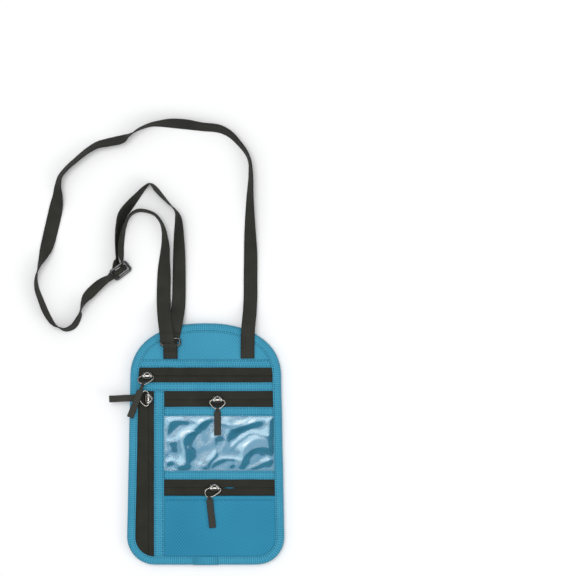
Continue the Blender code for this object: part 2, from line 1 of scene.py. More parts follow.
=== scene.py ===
"""Neck pouch wallet: the looks of a flat zipped pouch on an adjustable webbing strap.

The frame has the origin under the middle of the pouch, +Z up out of its front and +Y towards the
strap. Values are in millimetres until a vertex is made.
"""

import functools
import json
import math

import bmesh
import bpy
from mathutils import Matrix, Vector, noise


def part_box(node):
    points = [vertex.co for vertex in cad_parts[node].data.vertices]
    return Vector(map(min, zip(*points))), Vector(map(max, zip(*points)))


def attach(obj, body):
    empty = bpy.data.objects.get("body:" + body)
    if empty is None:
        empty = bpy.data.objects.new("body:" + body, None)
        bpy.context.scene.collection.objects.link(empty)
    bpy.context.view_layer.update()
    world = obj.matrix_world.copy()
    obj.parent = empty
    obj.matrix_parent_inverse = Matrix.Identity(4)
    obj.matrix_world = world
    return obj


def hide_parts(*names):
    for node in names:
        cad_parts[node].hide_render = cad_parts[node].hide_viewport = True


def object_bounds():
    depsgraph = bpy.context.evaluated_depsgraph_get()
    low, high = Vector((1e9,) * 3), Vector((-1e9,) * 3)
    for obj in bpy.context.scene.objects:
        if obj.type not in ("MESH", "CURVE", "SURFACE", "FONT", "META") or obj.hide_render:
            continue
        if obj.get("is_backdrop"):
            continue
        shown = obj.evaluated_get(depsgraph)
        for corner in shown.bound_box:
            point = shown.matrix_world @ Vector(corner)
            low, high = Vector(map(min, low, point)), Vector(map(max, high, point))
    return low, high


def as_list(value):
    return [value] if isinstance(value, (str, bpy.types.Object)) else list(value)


MM = 0.001
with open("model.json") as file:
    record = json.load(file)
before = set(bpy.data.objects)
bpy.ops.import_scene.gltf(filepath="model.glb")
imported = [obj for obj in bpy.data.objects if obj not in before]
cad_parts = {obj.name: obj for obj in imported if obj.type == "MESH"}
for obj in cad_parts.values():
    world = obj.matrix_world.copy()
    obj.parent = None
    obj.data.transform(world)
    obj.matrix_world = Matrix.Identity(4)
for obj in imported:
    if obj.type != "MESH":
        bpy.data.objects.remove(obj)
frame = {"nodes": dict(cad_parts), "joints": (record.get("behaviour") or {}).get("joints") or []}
cad_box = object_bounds()


@functools.cache
def spans(node):
    """A CAD node's (low, high) along X, Y and Z, in millimetres."""
    low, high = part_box(node)
    return [(low[axis] / MM, high[axis] / MM) for axis in range(3)]


# ---------------------------------------------------------------- sizes

EDGE = spans("perimeter_binding")
HALF_HEIGHT = EDGE[1][1]
HALF_WIDTH_LOW = EDGE[0][1]
HALF_WIDTH_HIGH = HALF_WIDTH_LOW - 2.9  # the pouch narrows a little up to its shoulders
TOP_Z = EDGE[2][1]
ARCH_RISE = 48.7
ARCH_POWER = 2.25
CORNER_RADIUS = 25.0
SHOULDER_Y = HALF_HEIGHT - ARCH_RISE
CORNER_Y = CORNER_RADIUS - HALF_HEIGHT
CORNER_STEPS, SIDE_STEPS, ARCH_STEPS = 12, 9, 36

LIP = 7.6  # how far the edge tape reaches over the panels
PANEL_INSET = 2.2
TRIM_INSET = LIP + 0.1
ZIP_INSET = PANEL_INSET + 0.5
PANEL_TOP = spans("arch_panel")[2][1]
BACK_TOP = spans("back_panel")[2][1]
WEBBING_WIDTH = 12.7
WEBBING_THICKNESS = 1.1

LEVEL_ZIPS = ("top_zip", "middle_zip", "lower_zip")
ZIP_Y = {name: sum(spans(name + "_coil")[1]) / 2 for name in LEVEL_ZIPS}
SIDE_ZIP_X = sum(spans("side_zip_coil")[0]) / 2
COLUMN_X = spans("column_binding")[0]
PIVOTS = {
    joint["name"].removesuffix("_ring_lift"): [value / MM for value in joint["pos_m"]]
    for joint in frame["joints"]
    if joint["name"].endswith("_ring_lift")
}
HINGES = {
    joint["name"].removesuffix("_tab_swing"): joint
    for joint in frame["joints"]
    if joint["name"].endswith("_tab_swing")
}


# ---------------------------------------------------------------- shader helpers

class Paint:
    """A node material with one Principled shader."""

    def __init__(self, name, roughness, metallic=0.0, specular=0.5):
        self.material = bpy.data.materials.new(name)
        self.material.use_nodes = True
        self.tree = self.material.node_tree
        self.shader = self.tree.nodes["Principled BSDF"]
        self.shader.inputs["Roughness"].default_value = roughness
        self.shader.inputs["Metallic"].default_value = metallic
        self.shader.inputs["Specular IOR Level"].default_value = specular

    def add(self, kind, **settings):
        node = self.tree.nodes.new(kind)
        for key, value in settings.items():
            setattr(node, key, value)
        return node

    def link(self, source, target):
        self.tree.links.new(source, target)

    def feed(self, socket, value):
        if isinstance(value, (int, float)):
            socket.default_value = value
        else:
            self.link(value, socket)

    def math(self, operation, *values):
        node = self.add("ShaderNodeMath", operation=operation)
        for socket, value in zip(node.inputs, values):
            self.feed(socket, value)
        return node.outputs[0]

    def weigh(self, first, share, second, other_share):
        """The sum of two values, each times its share."""
        first, second = self.math("MULTIPLY", first, share), self.math("MULTIPLY", second, other_share)
        return self.math("ADD", first, second)

    def place(self, kind="Object"):
        return self.add("ShaderNodeTexCoord").outputs[kind]

    def waves(self, place, direction, pitch):
        """0 to 1 across lines of that pitch, which lie square to direction."""
        dot = self.add("ShaderNodeVectorMath", operation="DOT_PRODUCT")
        self.link(place, dot.inputs[0])
        size = math.sqrt(sum(value * value for value in direction))
        dot.inputs[1].default_value = [value / size * 2 * math.pi / pitch for value in direction]
        return self.math("MULTIPLY_ADD", self.math("SINE", dot.outputs["Value"]), 0.5, 0.5)

    def cloud(self, place, scale, detail=2.0):
        node = self.add("ShaderNodeTexNoise")
        node.inputs["Scale"].default_value = scale
        node.inputs["Detail"].default_value = detail
        self.link(place, node.inputs["Vector"])
        return node.outputs["Fac"]

    def ramp(self, value, low, high):
        """A colour between low and high."""
        node = self.add("ShaderNodeMix", data_type="RGBA")
        node.inputs[6].default_value = (*low, 1.0)
        node.inputs[7].default_value = (*high, 1.0)
        self.feed(node.inputs[0], value)
        return node.outputs[2]

    def color(self, output):
        self.link(output, self.shader.inputs["Base Color"])

    def tint(self, value, low, high):
        """The base colour, between two 8 bit sRGB colours."""
        self.color(self.ramp(value, linear(*low), linear(*high)))

    def rough(self, value, low, high):
        span = self.add("ShaderNodeMapRange")
        span.inputs["To Min"].default_value = low
        span.inputs["To Max"].default_value = high
        self.link(value, span.inputs["Value"])
        self.link(span.outputs["Result"], self.shader.inputs["Roughness"])

    def soft_step(self, value, low, high):
        """0 below low to 1 above high, smoothly."""
        span = self.add("ShaderNodeMapRange", interpolation_type="SMOOTHSTEP")
        span.inputs["From Min"].default_value = low
        span.inputs["From Max"].default_value = high
        self.link(value, span.inputs["Value"])
        return span.outputs["Result"]

    def bump(self, height, distance, strength=1.0):
        node = self.add("ShaderNodeBump")
        node.inputs["Distance"].default_value = distance
        node.inputs["Strength"].default_value = strength
        self.link(height, node.inputs["Height"])
        self.link(node.outputs["Normal"], self.shader.inputs["Normal"])


def linear(red, green, blue):
    """An 8 bit sRGB colour as linear values."""
    return tuple(((value / 255 + 0.055) / 1.055) ** 2.4 for value in (red, green, blue))


# ---------------------------------------------------------------- materials

def blue_cloth(name, deep, pale):
    """Blue polyester with a small raised diamond weave that runs in diagonal lines."""
    paint = Paint(name, 0.62, specular=0.25)
    place = paint.place()
    twill = paint.waves(place, (0.82, -0.57, 0.0), 0.0021)
    cross = paint.waves(place, (0.82, 0.57, 0.0), 0.0021)
    fine = paint.waves(place, (1.0, -0.35, 0.0), 0.0007)
    diamonds = paint.math("MULTIPLY", twill, paint.math("MULTIPLY_ADD", cross, 0.75, 0.25))
    height = paint.math("MULTIPLY_ADD", fine, 0.2, diamonds)
    paint.tint(paint.weigh(diamonds, 0.42, paint.cloud(place, 14.0), 0.6), deep, pale)
    paint.rough(height, 0.72, 0.55)
    paint.bump(height, 0.0002, 0.6)
    return paint.material


def blue_grosgrain():
    """Blue binding tape with fine ribs across it."""
    paint = Paint("blue_grosgrain", 0.7, specular=0.25)
    paint.shader.inputs["Sheen Weight"].default_value = 0.08
    along = paint.place("UV")
    ribs = paint.waves(along, (1.0, 0.0, 0.0), 1.75)
    threads = paint.waves(along, (0.0, 1.0, 0.0), 1.75)
    grid = paint.math("MULTIPLY", paint.math("MULTIPLY_ADD", threads, 0.7, 0.3), ribs)
    fine = paint.waves(along, (0.0, 1.0, 0.0), 0.58)
    worn = paint.cloud(paint.place(), 55.0, 4.0)
    paint.tint(paint.weigh(grid, 0.8, worn, 0.42), (12, 118, 152), (78, 166, 194))
    paint.rough(ribs, 0.8, 0.65)
    paint.bump(paint.math("MULTIPLY_ADD", fine, 0.2, grid), 0.00022, 0.8)
    return paint.material


def thread(name, roughness, dark, light):
    """Twisted sewing thread."""
    paint = Paint(name, roughness)
    twist = paint.waves(paint.place(), (0.8, 0.6, 0.2), 0.0006)
    paint.tint(twist, dark, light)
    paint.bump(twist, 0.0001, 0.6)
    return paint.material


def zip_tape():
    """Black woven zip tape: fine ribs that run along the zip."""
    paint = Paint("zip_tape", 0.8, specular=0.12)
    along = paint.place("UV")
    ribs = paint.waves(along, (0.0, 1.0, 0.0), 0.95)
    knots = paint.waves(along, (1.0, 0.0, 0.0), 0.75)
    worn = paint.cloud(paint.place(), 70.0, 3.0)
    paint.tint(paint.weigh(ribs, 0.45, worn, 0.5), (25, 26, 22), (62, 62, 55))
    paint.rough(ribs, 0.9, 0.75)
    paint.bump(paint.math("MULTIPLY_ADD", knots, 0.4, ribs), 0.0002, 0.8)
    return paint.material


def coil_plastic():
    """Fine black teeth, across both the level and the upright zips."""
    paint = Paint("coil_plastic", 0.4)
    place = paint.place()
    across, upright = (paint.waves(place, way, 0.0011) for way in ((1.0, 0.0, 0.0), (0.0, 1.0, 0.0)))
    teeth = paint.math("MAXIMUM", across, upright)
    paint.tint(teeth, (10, 10, 10), (46, 46, 42))
    paint.bump(teeth, 0.0003, 0.9)
    return paint.material


def black_mesh():
    """Black spacer mesh: soft ribs across the pocket with small open cells along each."""
    paint = Paint("black_mesh", 0.85, specular=0.2)
    place = paint.place()
    cells = paint.waves(place, (1.0, 0.0, 0.0), 0.0016)
    rows = paint.waves(place, (0.0, 1.0, 0.0), 0.0022)
    knit = paint.math("MULTIPLY", cells, rows)
    paint.tint(paint.weigh(knit, 0.75, paint.cloud(place, 40.0), 0.3), (14, 14, 14), (64, 63, 60))
    paint.bump(paint.math("MULTIPLY_ADD", rows, 0.8, knit), 0.0003, 0.8)
    return paint.material


def black_webbing():
    """Black woven webbing: chevron threads across it and firm edges."""
    paint = Paint("black_webbing", 0.7, specular=0.15)
    along = paint.place("UV")
    weft = paint.waves(along, (1.0, 0.55, 0.0), 1.15)
    counter = paint.waves(along, (1.0, -0.55, 0.0), 1.15)
    warp = paint.waves(along, (0.0, 1.0, 0.0), 1.45)
    height = paint.weigh(weft, counter, warp, 0.4)
    worn = paint.cloud(paint.place(), 60.0, 3.0)
    paint.tint(paint.weigh(height, 0.4, worn, 0.42), (20, 20, 19), (72, 72, 66))
    paint.rough(height, 0.8, 0.6)
    paint.bump(height, 0.0002, 0.8)
    return paint.material


def clear_film():
    """Soft clear vinyl with painted reflections: pale where its folds face the lamp, clear where they
    face away.
    """
    paint = Paint("clear_film", 0.08)
    for socket, value in (("IOR", 1.5), ("Coat Weight", 0.25), ("Coat Roughness", 0.05)):
        paint.shader.inputs[socket].default_value = value
    glare_and_roughness_noise = paint.cloud(paint.place(), 34.0, 3.0)
    # painted reflection: the colour and clearness below follow how far each fold faces the softbox
    lean = paint.add("ShaderNodeVectorMath", operation="DOT_PRODUCT")
    paint.link(paint.place("Normal"), lean.inputs[0])
    lean.inputs[1].default_value = (-0.62, 0.78, 0.0)
    slope = paint.math("MULTIPLY_ADD", glare_and_roughness_noise, 0.05, lean.outputs["Value"])
    painted_glare = paint.soft_step(slope, -0.04, 0.0)
    # painted shade: a dark line where the painted glare gives way to clear film
    edge = paint.math(
        "MULTIPLY", paint.soft_step(slope, -0.05, -0.028), paint.soft_step(slope, 0.0, -0.022)
    )
    # painted highlight where the folds face the softbox most
    bright = paint.soft_step(slope, 0.18, 0.28)
    tone = paint.math("MULTIPLY_ADD", paint.soft_step(slope, -0.02, 0.2), 0.4, bright)
    shade = paint.add("ShaderNodeMix", data_type="RGBA")
    shade.inputs[7].default_value = (*linear(14, 104, 134), 1.0)
    paint.link(edge, shade.inputs[0])
    paint.link(paint.ramp(tone, linear(118, 172, 202), linear(226, 238, 242)), shade.inputs[6])
    paint.color(shade.outputs[2])
    alpha = paint.math("MULTIPLY_ADD", painted_glare, 0.4, 0.03)
    alpha = paint.math("MULTIPLY_ADD", edge, 0.35, alpha)
    paint.link(paint.math("MULTIPLY_ADD", bright, 0.2, alpha), paint.shader.inputs["Alpha"])
    paint.rough(glare_and_roughness_noise, 0.1, 0.22)
    return paint.material


def nickel(name, dark, light):
    """Plated metal with light scuffs."""
    paint = Paint(name, 0.2, metallic=1.0)
    scuffs = paint.cloud(paint.place(), 900.0, 4.0)
    paint.tint(scuffs, dark, light)
    paint.rough(scuffs, 0.14, 0.32)
    paint.bump(scuffs, 0.00002, 0.4)
    return paint.material


def pull_rubber():
    """Black rubber moulded with a fine braid and grip lines."""
    paint = Paint("pull_rubber", 0.6, specular=0.25)
    along = paint.place("UV")
    ways = ((1.0, 0.0, 0.0), (0.7, 0.7, 0.0), (0.7, -0.7, 0.0))
    grip, braid, back = (paint.waves(along, way, 1.5) for way in ways)
    knit = paint.math("MULTIPLY", braid, back)
    grain = paint.cloud(paint.place(), 1400.0, 3.0)
    height = paint.math("MULTIPLY_ADD", grain, 0.4, paint.math("MAXIMUM", grip, knit))
    tone = paint.math("MULTIPLY_ADD", knit, 0.7, paint.math("MULTIPLY", grain, 0.35))
    paint.tint(tone, (16, 16, 14), (84, 83, 74))
    paint.rough(grain, 0.5, 0.75)
    paint.bump(height, 0.00022, 0.8)
    return paint.material


def black_plastic(name, dark, light):
    """Glossy moulded plastic."""
    paint = Paint(name, 0.22)
    paint.shader.inputs["Coat Weight"].default_value = 1.0
    paint.shader.inputs["Coat Roughness"].default_value = 0.12
    grain = paint.cloud(paint.place(), 1100.0, 3.0)
    paint.tint(grain, dark, light)
    paint.rough(grain, 0.18, 0.34)
    paint.bump(grain, 0.00003, 0.4)
    return paint.material


def floor_white():
    paint = Paint("floor_white", 0.9)
    paint.color(paint.ramp(paint.cloud(paint.place(), 3.0), (0.93, 0.93, 0.93), (0.95, 0.95, 0.95)))
    return paint.material


CLOTH = blue_cloth("blue_cloth", (10, 108, 144), (50, 152, 184))
ARCH_CLOTH = blue_cloth("blue_cloth_arch", (30, 120, 153), (72, 168, 198))
# painted light: the window's backing is a lighter copy of the blue cloth, to make up for the film's
# shadow on it
WINDOW_CLOTH_BRIGHTENED = blue_cloth("blue_cloth_window_brightened", (46, 152, 180), (96, 188, 212))
GROSGRAIN = blue_grosgrain()
BLUE_THREAD = thread("blue_thread", 0.55, (4, 58, 84), (16, 94, 122))
BLACK_THREAD = thread("black_thread", 0.6, (26, 26, 24), (62, 62, 56))
TAPE = zip_tape()
COIL = coil_plastic()
MESH = black_mesh()
WEBBING = black_webbing()
FILM = clear_film()
NICKEL = nickel("nickel", (150, 146, 140), (222, 218, 212))
RING_NICKEL = nickel("ring_nickel", (112, 108, 102), (184, 180, 174))
# painted shade: the slider's plate and post are the crown's nickel, painted darker
SHADED_NICKEL = nickel("shaded_nickel", (36, 35, 33), (62, 60, 57))
RUBBER = pull_rubber()
PLASTIC = black_plastic("black_plastic", (26, 26, 28), (64, 64, 68))
RING_PLASTIC = black_plastic("ring_plastic", (12, 12, 13), (32, 32, 34))


# ---------------------------------------------------------------- shape helpers

def half_width(y, inset):
    """Half the pouch's width at height y, for an outline moved in by inset."""
    if y >= SHOULDER_Y:
        rise = min((y - SHOULDER_Y) / (ARCH_RISE - inset), 1.0)
        return (HALF_WIDTH_HIGH - inset) * (1.0 - rise**ARCH_POWER) ** (1.0 / ARCH_POWER)
    if y >= CORNER_Y:
        share = (y - CORNER_Y) / (SHOULDER_Y - CORNER_Y)
        return HALF_WIDTH_LOW + (HALF_WIDTH_HIGH - HALF_WIDTH_LOW) * share - inset
    radius = CORNER_RADIUS - inset
    drop = min(CORNER_Y - y, radius)
    return HALF_WIDTH_LOW - CORNER_RADIUS + math.sqrt(radius**2 - drop**2)


def outline(inset):
    """Points round the pouch, anticlockwise from the middle of its bottom edge."""
    radius = CORNER_RADIUS - inset
    right = [(x, inset - HALF_HEIGHT) for x in (0.0, 11.5, 23.0, 34.5)]
    for step in range(CORNER_STEPS + 1):
        angle = math.pi / 2 * (step / CORNER_STEPS - 1.0)
        corner_x = HALF_WIDTH_LOW - CORNER_RADIUS
        right.append((corner_x + radius * math.cos(angle), CORNER_Y + radius * math.sin(angle)))
    for step in range(1, SIDE_STEPS):
        y = CORNER_Y + (SHOULDER_Y - CORNER_Y) * step / SIDE_STEPS
        right.append((half_width(y, inset), y))
    for step in range(ARCH_STEPS + 1):
        angle = math.pi / 2 * step / ARCH_STEPS
        reach, rise = (abs(value) ** (2.0 / ARCH_POWER) for value in (math.cos(angle), math.sin(angle)))
        right.append(((HALF_WIDTH_HIGH - inset) * reach, SHOULDER_Y + (ARCH_RISE - inset) * rise))
    right[-1] = (0.0, HALF_HEIGHT - inset)
    return right + [(-x, y) for x, y in reversed(right[1:-1])]


def ripple(x, y, z, size, amount):
    """Smooth noise for soft goods, the same each run. z picks one pattern."""
    return amount * noise.noise(Vector((x / size, y / size, z)))


def add_object(name, data):
    made = bpy.data.objects.new(name, data)
    bpy.context.scene.collection.objects.link(made)
    return made


def link_mesh(name, shape, paint, closed=True):
    """An object of the shape, in its paint. A closed shape's faces are turned outwards."""
    mesh = bpy.data.meshes.new(name)
    if closed:
        bmesh.ops.recalc_face_normals(shape, faces=shape.faces)
    shape.to_mesh(mesh)
    shape.free()
    mesh.shade_smooth()
    mesh.materials.append(paint)
    return add_object(name, mesh)


def skin(name, rows, paint, marks, closed_rows=False, closed_columns=False, capped=False):
    """Quads over rows of points in millimetres. marks gives each (along, across) for the weave."""
    shape = bmesh.new()
    layer = shape.loops.layers.uv.new("weave")
    grid = [[shape.verts.new(Vector(point) * MM) for point in row] for row in rows]
    row_count = len(rows) if closed_rows else len(rows) - 1
    column_count = len(rows[0]) if closed_columns else len(rows[0]) - 1
    for row in range(row_count):
        for column in range(column_count):
            corners = ((row, column), (row, column + 1), (row + 1, column + 1), (row + 1, column))
            face = shape.faces.new([grid[r % len(rows)][c % len(rows[0])] for r, c in corners])
            for loop, corner in zip(face.loops, corners):
                loop[layer].uv = marks(*corner)
    if capped:
        shape.faces.new(grid[0])
        shape.faces.new(reversed(grid[-1]))
    return link_mesh(name, shape, paint, closed=closed_columns)


def join_rings(shape, rings, ringed=False):
    """Quads from each ring of vertices to the next. The last joins the first, or both are capped."""
    for ring, following in zip(rings, rings[1:] + (rings[:1] if ringed else [])):
        for place in range(len(ring)):
            beside = (place + 1) % len(ring)
            shape.faces.new((ring[place], ring[beside], following[beside], following[place]))
    if not ringed:
        shape.faces.new(rings[0])
        shape.faces.new(reversed(rings[-1]))


def thicken(made, thickness):
    """Gives a sheet its thickness, downwards from its upper face."""
    solid = made.modifiers.new("thickness", "SOLIDIFY")
    solid.thickness = thickness * MM
    solid.offset = -1.0


def bind(made, slot, body, *nodes):
    """Rides a piece on its body and lets it stand for its CAD nodes."""
    if nodes:
        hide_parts(*nodes)
    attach(made, body)


def smoothstep(value):
    """0 below 0 to 1 above 1, smoothly."""
    value = min(max(value, 0.0), 1.0)
    return value * value * (3.0 - 2.0 * value)


def path_lengths(path):
    """How far along a path of points each of them is."""
    travelled = [0.0]
    for start, end in zip(path, path[1:]):
        travelled.append(travelled[-1] + math.dist(start, end))
    return travelled


# ---------------------------------------------------------------- stitches

STITCH_SIDES = 6
STITCH_LIFT = 0.05
STITCH_DIP = 0.34
BACK_STITCHES_BELOW = 3.0  # a path lower than this is on the back face


def stitches(name, path, paint, pitch=3.0, length=2.1, radius=0.26):
    """One mesh of short thread lengths that dip in at both ends, along a path of points."""
    travelled = path_lengths(path)
    count = int(travelled[-1] / pitch)
    faces_up = path[0][2] >= BACK_STITCHES_BELOW
    shape = bmesh.new()
    index = 0
    for number in range(count):
        middle = (number + 0.5) * travelled[-1] / count
        while index < len(path) - 2 and travelled[index + 1] < middle:
            index += 1
        start, end = Vector(path[index]), Vector(path[index + 1])
        share = (middle - travelled[index]) / max(travelled[index + 1] - travelled[index], 1e-6)
        centre = start.lerp(end, share)
        along = (end - start).normalized()
        up = Vector((0.0, 0.0, 1.0 if faces_up else -1.0))
        side = along.cross(up).normalized()
        rings = []
        for place in (-1.0, -0.72, -0.3, 0.3, 0.72, 1.0):
            thick = radius * (0.35 + 0.65 * math.sqrt(max(0.0, 1.0 - (place * 0.96) ** 2)))
            lift = STITCH_LIFT - STITCH_DIP * place * place
            ring = []
            for turn in range(STITCH_SIDES):
                angle = 2 * math.pi * turn / STITCH_SIDES
                offset = side * (math.cos(angle) * thick) + up * (math.sin(angle) * thick + lift)
                ring.append(shape.verts.new((centre + along * (place * length / 2) + offset) * MM))
            rings.append(ring)
        join_rings(shape, rings)
    slot = "blue_binding" if paint is BLUE_THREAD else "black_webbing"
    bind(link_mesh(name, shape, paint), slot, "pouch")


# ---------------------------------------------------------------- camera, light and floor

VIEW_CENTRE = (74.4, 140.9)
VIEW_WIDTH = 519.6
CAMERA_HEIGHT = 2200.0
SENSOR_WIDTH = 36.0
SOFT_LIGHTS = (  # name, place in metres, size and power
    ("softbox", (-0.35, 0.5, 2.7), 1.35, 30.0),
    ("side_fill", (1.9, -0.9, 1.5), 1.2, 9.0),
)
SKY = ((0.0, 0.1), (0.25, 0.2), (0.55, 0.75), (1.0, 0.95))  # height and level of each stop


def camera_and_light():
    """A camera straight above the pouch, and two soft lamps."""
    scene = bpy.context.scene
    camera = add_object("camera", bpy.data.cameras.new("camera"))
    camera.location = (VIEW_CENTRE[0] * MM, VIEW_CENTRE[1] * MM, CAMERA_HEIGHT * MM)
    camera.data.sensor_width = SENSOR_WIDTH
    camera.data.lens = SENSOR_WIDTH * (CAMERA_HEIGHT - TOP_Z) / VIEW_WIDTH
    camera.data.clip_end = 20.0
    scene.camera = camera
    scene.view_settings.view_transform = "Standard"
    for name, place, size, power in SOFT_LIGHTS:
        lamp = add_object(name, bpy.data.lights.new(name, "AREA"))
        lamp.data.shape = "SQUARE"
        lamp.data.size = size
        lamp.data.energy = power
        lamp.location = place
        aim = Vector((VIEW_CENTRE[0] * MM, 0.05, 0.0)) - lamp.location
        lamp.rotation_euler = aim.to_track_quat("-Z", "Y").to_euler()


def sky_and_floor():
    """A sky that is dim at its horizon and bright overhead and below, and a plain pale floor."""
    world = bpy.data.worlds.new("studio")
    bpy.context.scene.world = world
    world.use_nodes = True
    nodes, links = world.node_tree.nodes, world.node_tree.links
    split = nodes.new("ShaderNodeSeparateXYZ")
    links.new(nodes.new("ShaderNodeTexCoord").outputs["Generated"], split.inputs[0])
    height = nodes.new("ShaderNodeMath")
    height.operation = "ABSOLUTE"
    links.new(split.outputs["Z"], height.inputs[0])
    sky = nodes.new("ShaderNodeValToRGB")
    stops = sky.color_ramp.elements
    for place, _ in SKY[1:-1]:
        stops.new(place)
    for stop, (_, level) in zip(stops, SKY):
        stop.color = (level * 0.985, level * 0.99, level, 1.0)
    links.new(height.outputs[0], sky.inputs[0])
    links.new(sky.outputs[0], nodes["Background"].inputs["Color"])
    nodes["Background"].inputs["Strength"].default_value = 0.9
    shape = bmesh.new()
    bmesh.ops.create_grid(shape, x_segments=2, y_segments=2, size=4.0)
    floor = link_mesh("floor", shape, floor_white())
    floor.location.z = -0.0002
    floor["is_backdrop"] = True


# ---------------------------------------------------------------- strap

STRIP_SHARES = (-0.985, -0.8, -0.4, 0.0, 0.4, 0.8, 0.985)

USUAL_RISE = 0.1

# The routes: x, y, rise above the floor where it isn't the usual one, and lean. Webbing that leans 0
# stands on its edge, and at 90 or -90 it lies flat.
NECK_STRAP = [
    (37.9, 77.4, 8.9, 90), (37.9, 88.0, 9.8, 90), (38.1, 98.0, 10.4, 90), (38.6, 106.0, 10.4, 90),
    (39.3, 113.5, 7.0, 88), (39.9, 121.0, 3.0, 84), (40.4, 132.0, 0.6, 80), (40.5, 150.0, 0.2, 78),
    (40.6, 170.0, 72), (40.1, 193.0, 52), (40.1, 222.0, 30), (40.7, 247.0, 16), (39.6, 256.5, 12),
    (36.5, 263.6, 14), (30.2, 271.8, 18), (22.0, 280.0, 24), (12.2, 284.8, 30), (-3.2, 286.6, 32),
    (-18.5, 288.9, 40), (-30.2, 289.8, 36), (-42.0, 289.4, 20), (-50.5, 288.2, 10),
    (-59.0, 285.0, 4), (-68.5, 279.4, -12), (-77.8, 274.6, -40), (-88.4, 272.4, -38),
    (-98.0, 270.0, -32), (-107.0, 264.8, -27), (-116.4, 257.2, -24), (-125.4, 249.2, -22),
    (-131.2, 242.2, -22), (-133.4, 233.6, -30), (-133.8, 223.6, -50), (-136.6, 208.6, -84),
    (-140.2, 193.0, -88), (-143.2, 180.4, -74), (-146.6, 169.8, -42), (-151.0, 159.2, -12),
    (-153.2, 149.2, 4), (-152.4, 140.0, 12), (-149.2, 130.8, 16), (-144.2, 118.6, 18),
    (-138.2, 109.0, 10), (-132.6, 105.2, -4), (-126.4, 103.2, -14), (-119.4, 106.4, -20),
    (-114.4, 114.4, -14), (-113.0, 120.8, 4), (-109.8, 129.0, 28), (-104.4, 136.2, 48),
    (-96.6, 143.6, 44), (-91.0, 147.6, 34), (-88.0, 149.4, 0.2, 28), (-84.8, 151.8, 0.3, 35),
    (-82.4, 153.6, 0.7, 43), (-80.6, 155.0, 1.2, 50),
]

LOOP_OUTER = [
    (-79.0, 159.6, 3.4, -52), (-79.8, 162.2, 1.9, -34), (-80.1, 165.0, 0.7, -16),
    (-80.0, 167.6, 0.3, -4), (-80.4, 173.0, -4), (-80.4, 180.0, -8), (-79.8, 187.4, -14),
    (-78.2, 197.0, -24), (-74.2, 208.6, -38), (-67.8, 217.0, -32), (-61.0, 225.0, -20),
    (-55.2, 231.6, -10), (-50.2, 235.2, 2), (-45.0, 230.4, 16), (-38.8, 223.2, 12),
    (-33.0, 217.0, 4), (-27.8, 211.6, -6), (-24.6, 203.0, -30), (-24.2, 187.0, -48),
    (-24.0, 167.0, -64), (-24.2, 147.0, 0.2, -72), (-24.4, 132.0, 0.6, -78),
    (-25.0, 122.0, 2.8, -84), (-26.0, 114.5, 7.9, -88), (-27.4, 107.0, 10.9, -90),
    (-28.6, 100.3, 9.8, -90),
]

LOOP_INNER = [
    (-34.9, 100.3, 13.5, 90), (-36.0, 107.0, 13.0, 90), (-37.0, 114.5, 9.8, 90),
    (-37.8, 122.5, 5.2, 90), (-38.2, 132.0, 1.2, 86), (-37.9, 147.0, 0.2, 80), (-37.2, 166.0, 52),
    (-36.4, 178.4, 38), (-36.8, 185.4, 28), (-38.0, 194.0, 18), (-40.8, 201.2, 12),
    (-45.8, 207.2, 10), (-52.8, 210.2, 10), (-60.0, 211.0, 10), (-65.8, 208.8, 8),
    (-70.2, 203.6, 4), (-73.2, 196.0, 8), (-75.4, 186.8, 16), (-76.6, 177.6, 20),
    (-76.6, 172.6, 20), (-76.2, 168.0, 0.3, 12), (-76.0, 165.0, 0.6, -2), (-76.2, 162.2, 1.2, -22),
    (-76.8, 159.8, 1.8, -44),
]

# The strap's turn round the ring's wire: x, y, and height above the ring's middle.
RING_TURN = (
    (-35.4, 103.4, 1.75), (-34.9, 99.8, 1.85), (-34.5, 95.6, 1.9), (-34.4, 93.2, 1.6),
    (-34.0, 91.2, 0.1), (-32.6, 93.2, -1.5), (-30.6, 95.6, -1.9), (-29.0, 99.8, -1.85),
    (-28.2, 103.4, -1.75),
)


def spline_through(points, spacing, cyclic=False):
    """Points about spacing apart along a smooth curve through points of any dimension."""
    size = len(points)

    def knot(index):
        if cyclic:
            return Vector(points[index % size])
        return Vector(points[min(max(index, 0), size - 1)])

    fine = []
    for span in range(size if cyclic else size - 1):
        before, start, end, after = (knot(span + shift) for shift in (-1, 0, 1, 2))
        chords = [max((b - a).length, 1e-6) for a, b in ((before, start), (start, end), (end, after))]
        slope_start = ((start - before) / chords[0] + (end - start) / chords[1]) / 2 * chords[1]
        slope_end = ((end - start) / chords[1] + (after - end) / chords[2]) / 2 * chords[1]
        steps = max(2, round((end - start).to_3d().length / spacing))
        for step in range(steps):
            t = step / steps
            place = start * (2 * t**3 - 3 * t**2 + 1) + slope_start * (t**3 - 2 * t**2 + t)
            fine.append(place + end * (3 * t**2 - 2 * t**3) + slope_end * (t**3 - t**2))
    if not cyclic:
        fine.append(knot(size - 1))
    return fine


def heading(path, index):
    """The direction of a path at one of its points."""
    return (path[min(index + 1, len(path) - 1)] - path[max(index - 1, 0)]).to_3d().normalized()


def strip(name, centres, acrosses, paint, width=WEBBING_WIDTH, thickness=WEBBING_THICKNESS):
    """A strip of webbing with rounded edges along centres, with its width along acrosses."""
    travelled = path_lengths(centres)
    section = [(side, side * share * width / 2) for side in (1.0, -1.0) for share in STRIP_SHARES]
    rows = []
    for index, (centre, across) in enumerate(zip(centres, acrosses)):
        along = heading(centres, index)
        across = (across - along * across.dot(along)).normalized()
        out = along.cross(across)
        row = []
        for side, place in section:
            rise = thickness / 2 * (0.62 if abs(place) > 0.45 * width else 1.0)
            row.append(centre + across * place + out * (side * rise))
        rows.append(row)

    def marks(row, column):
        return travelled[row], section[column % len(section)][1]

    return skin(name, rows, paint, marks, closed_columns=True, capped=True)


def leaning_half(turn):
    """Half the height that webbing takes when it leans over by turn."""
    return WEBBING_WIDTH / 2 * abs(math.cos(turn)) + WEBBING_THICKNESS / 2 * abs(math.sin(turn))


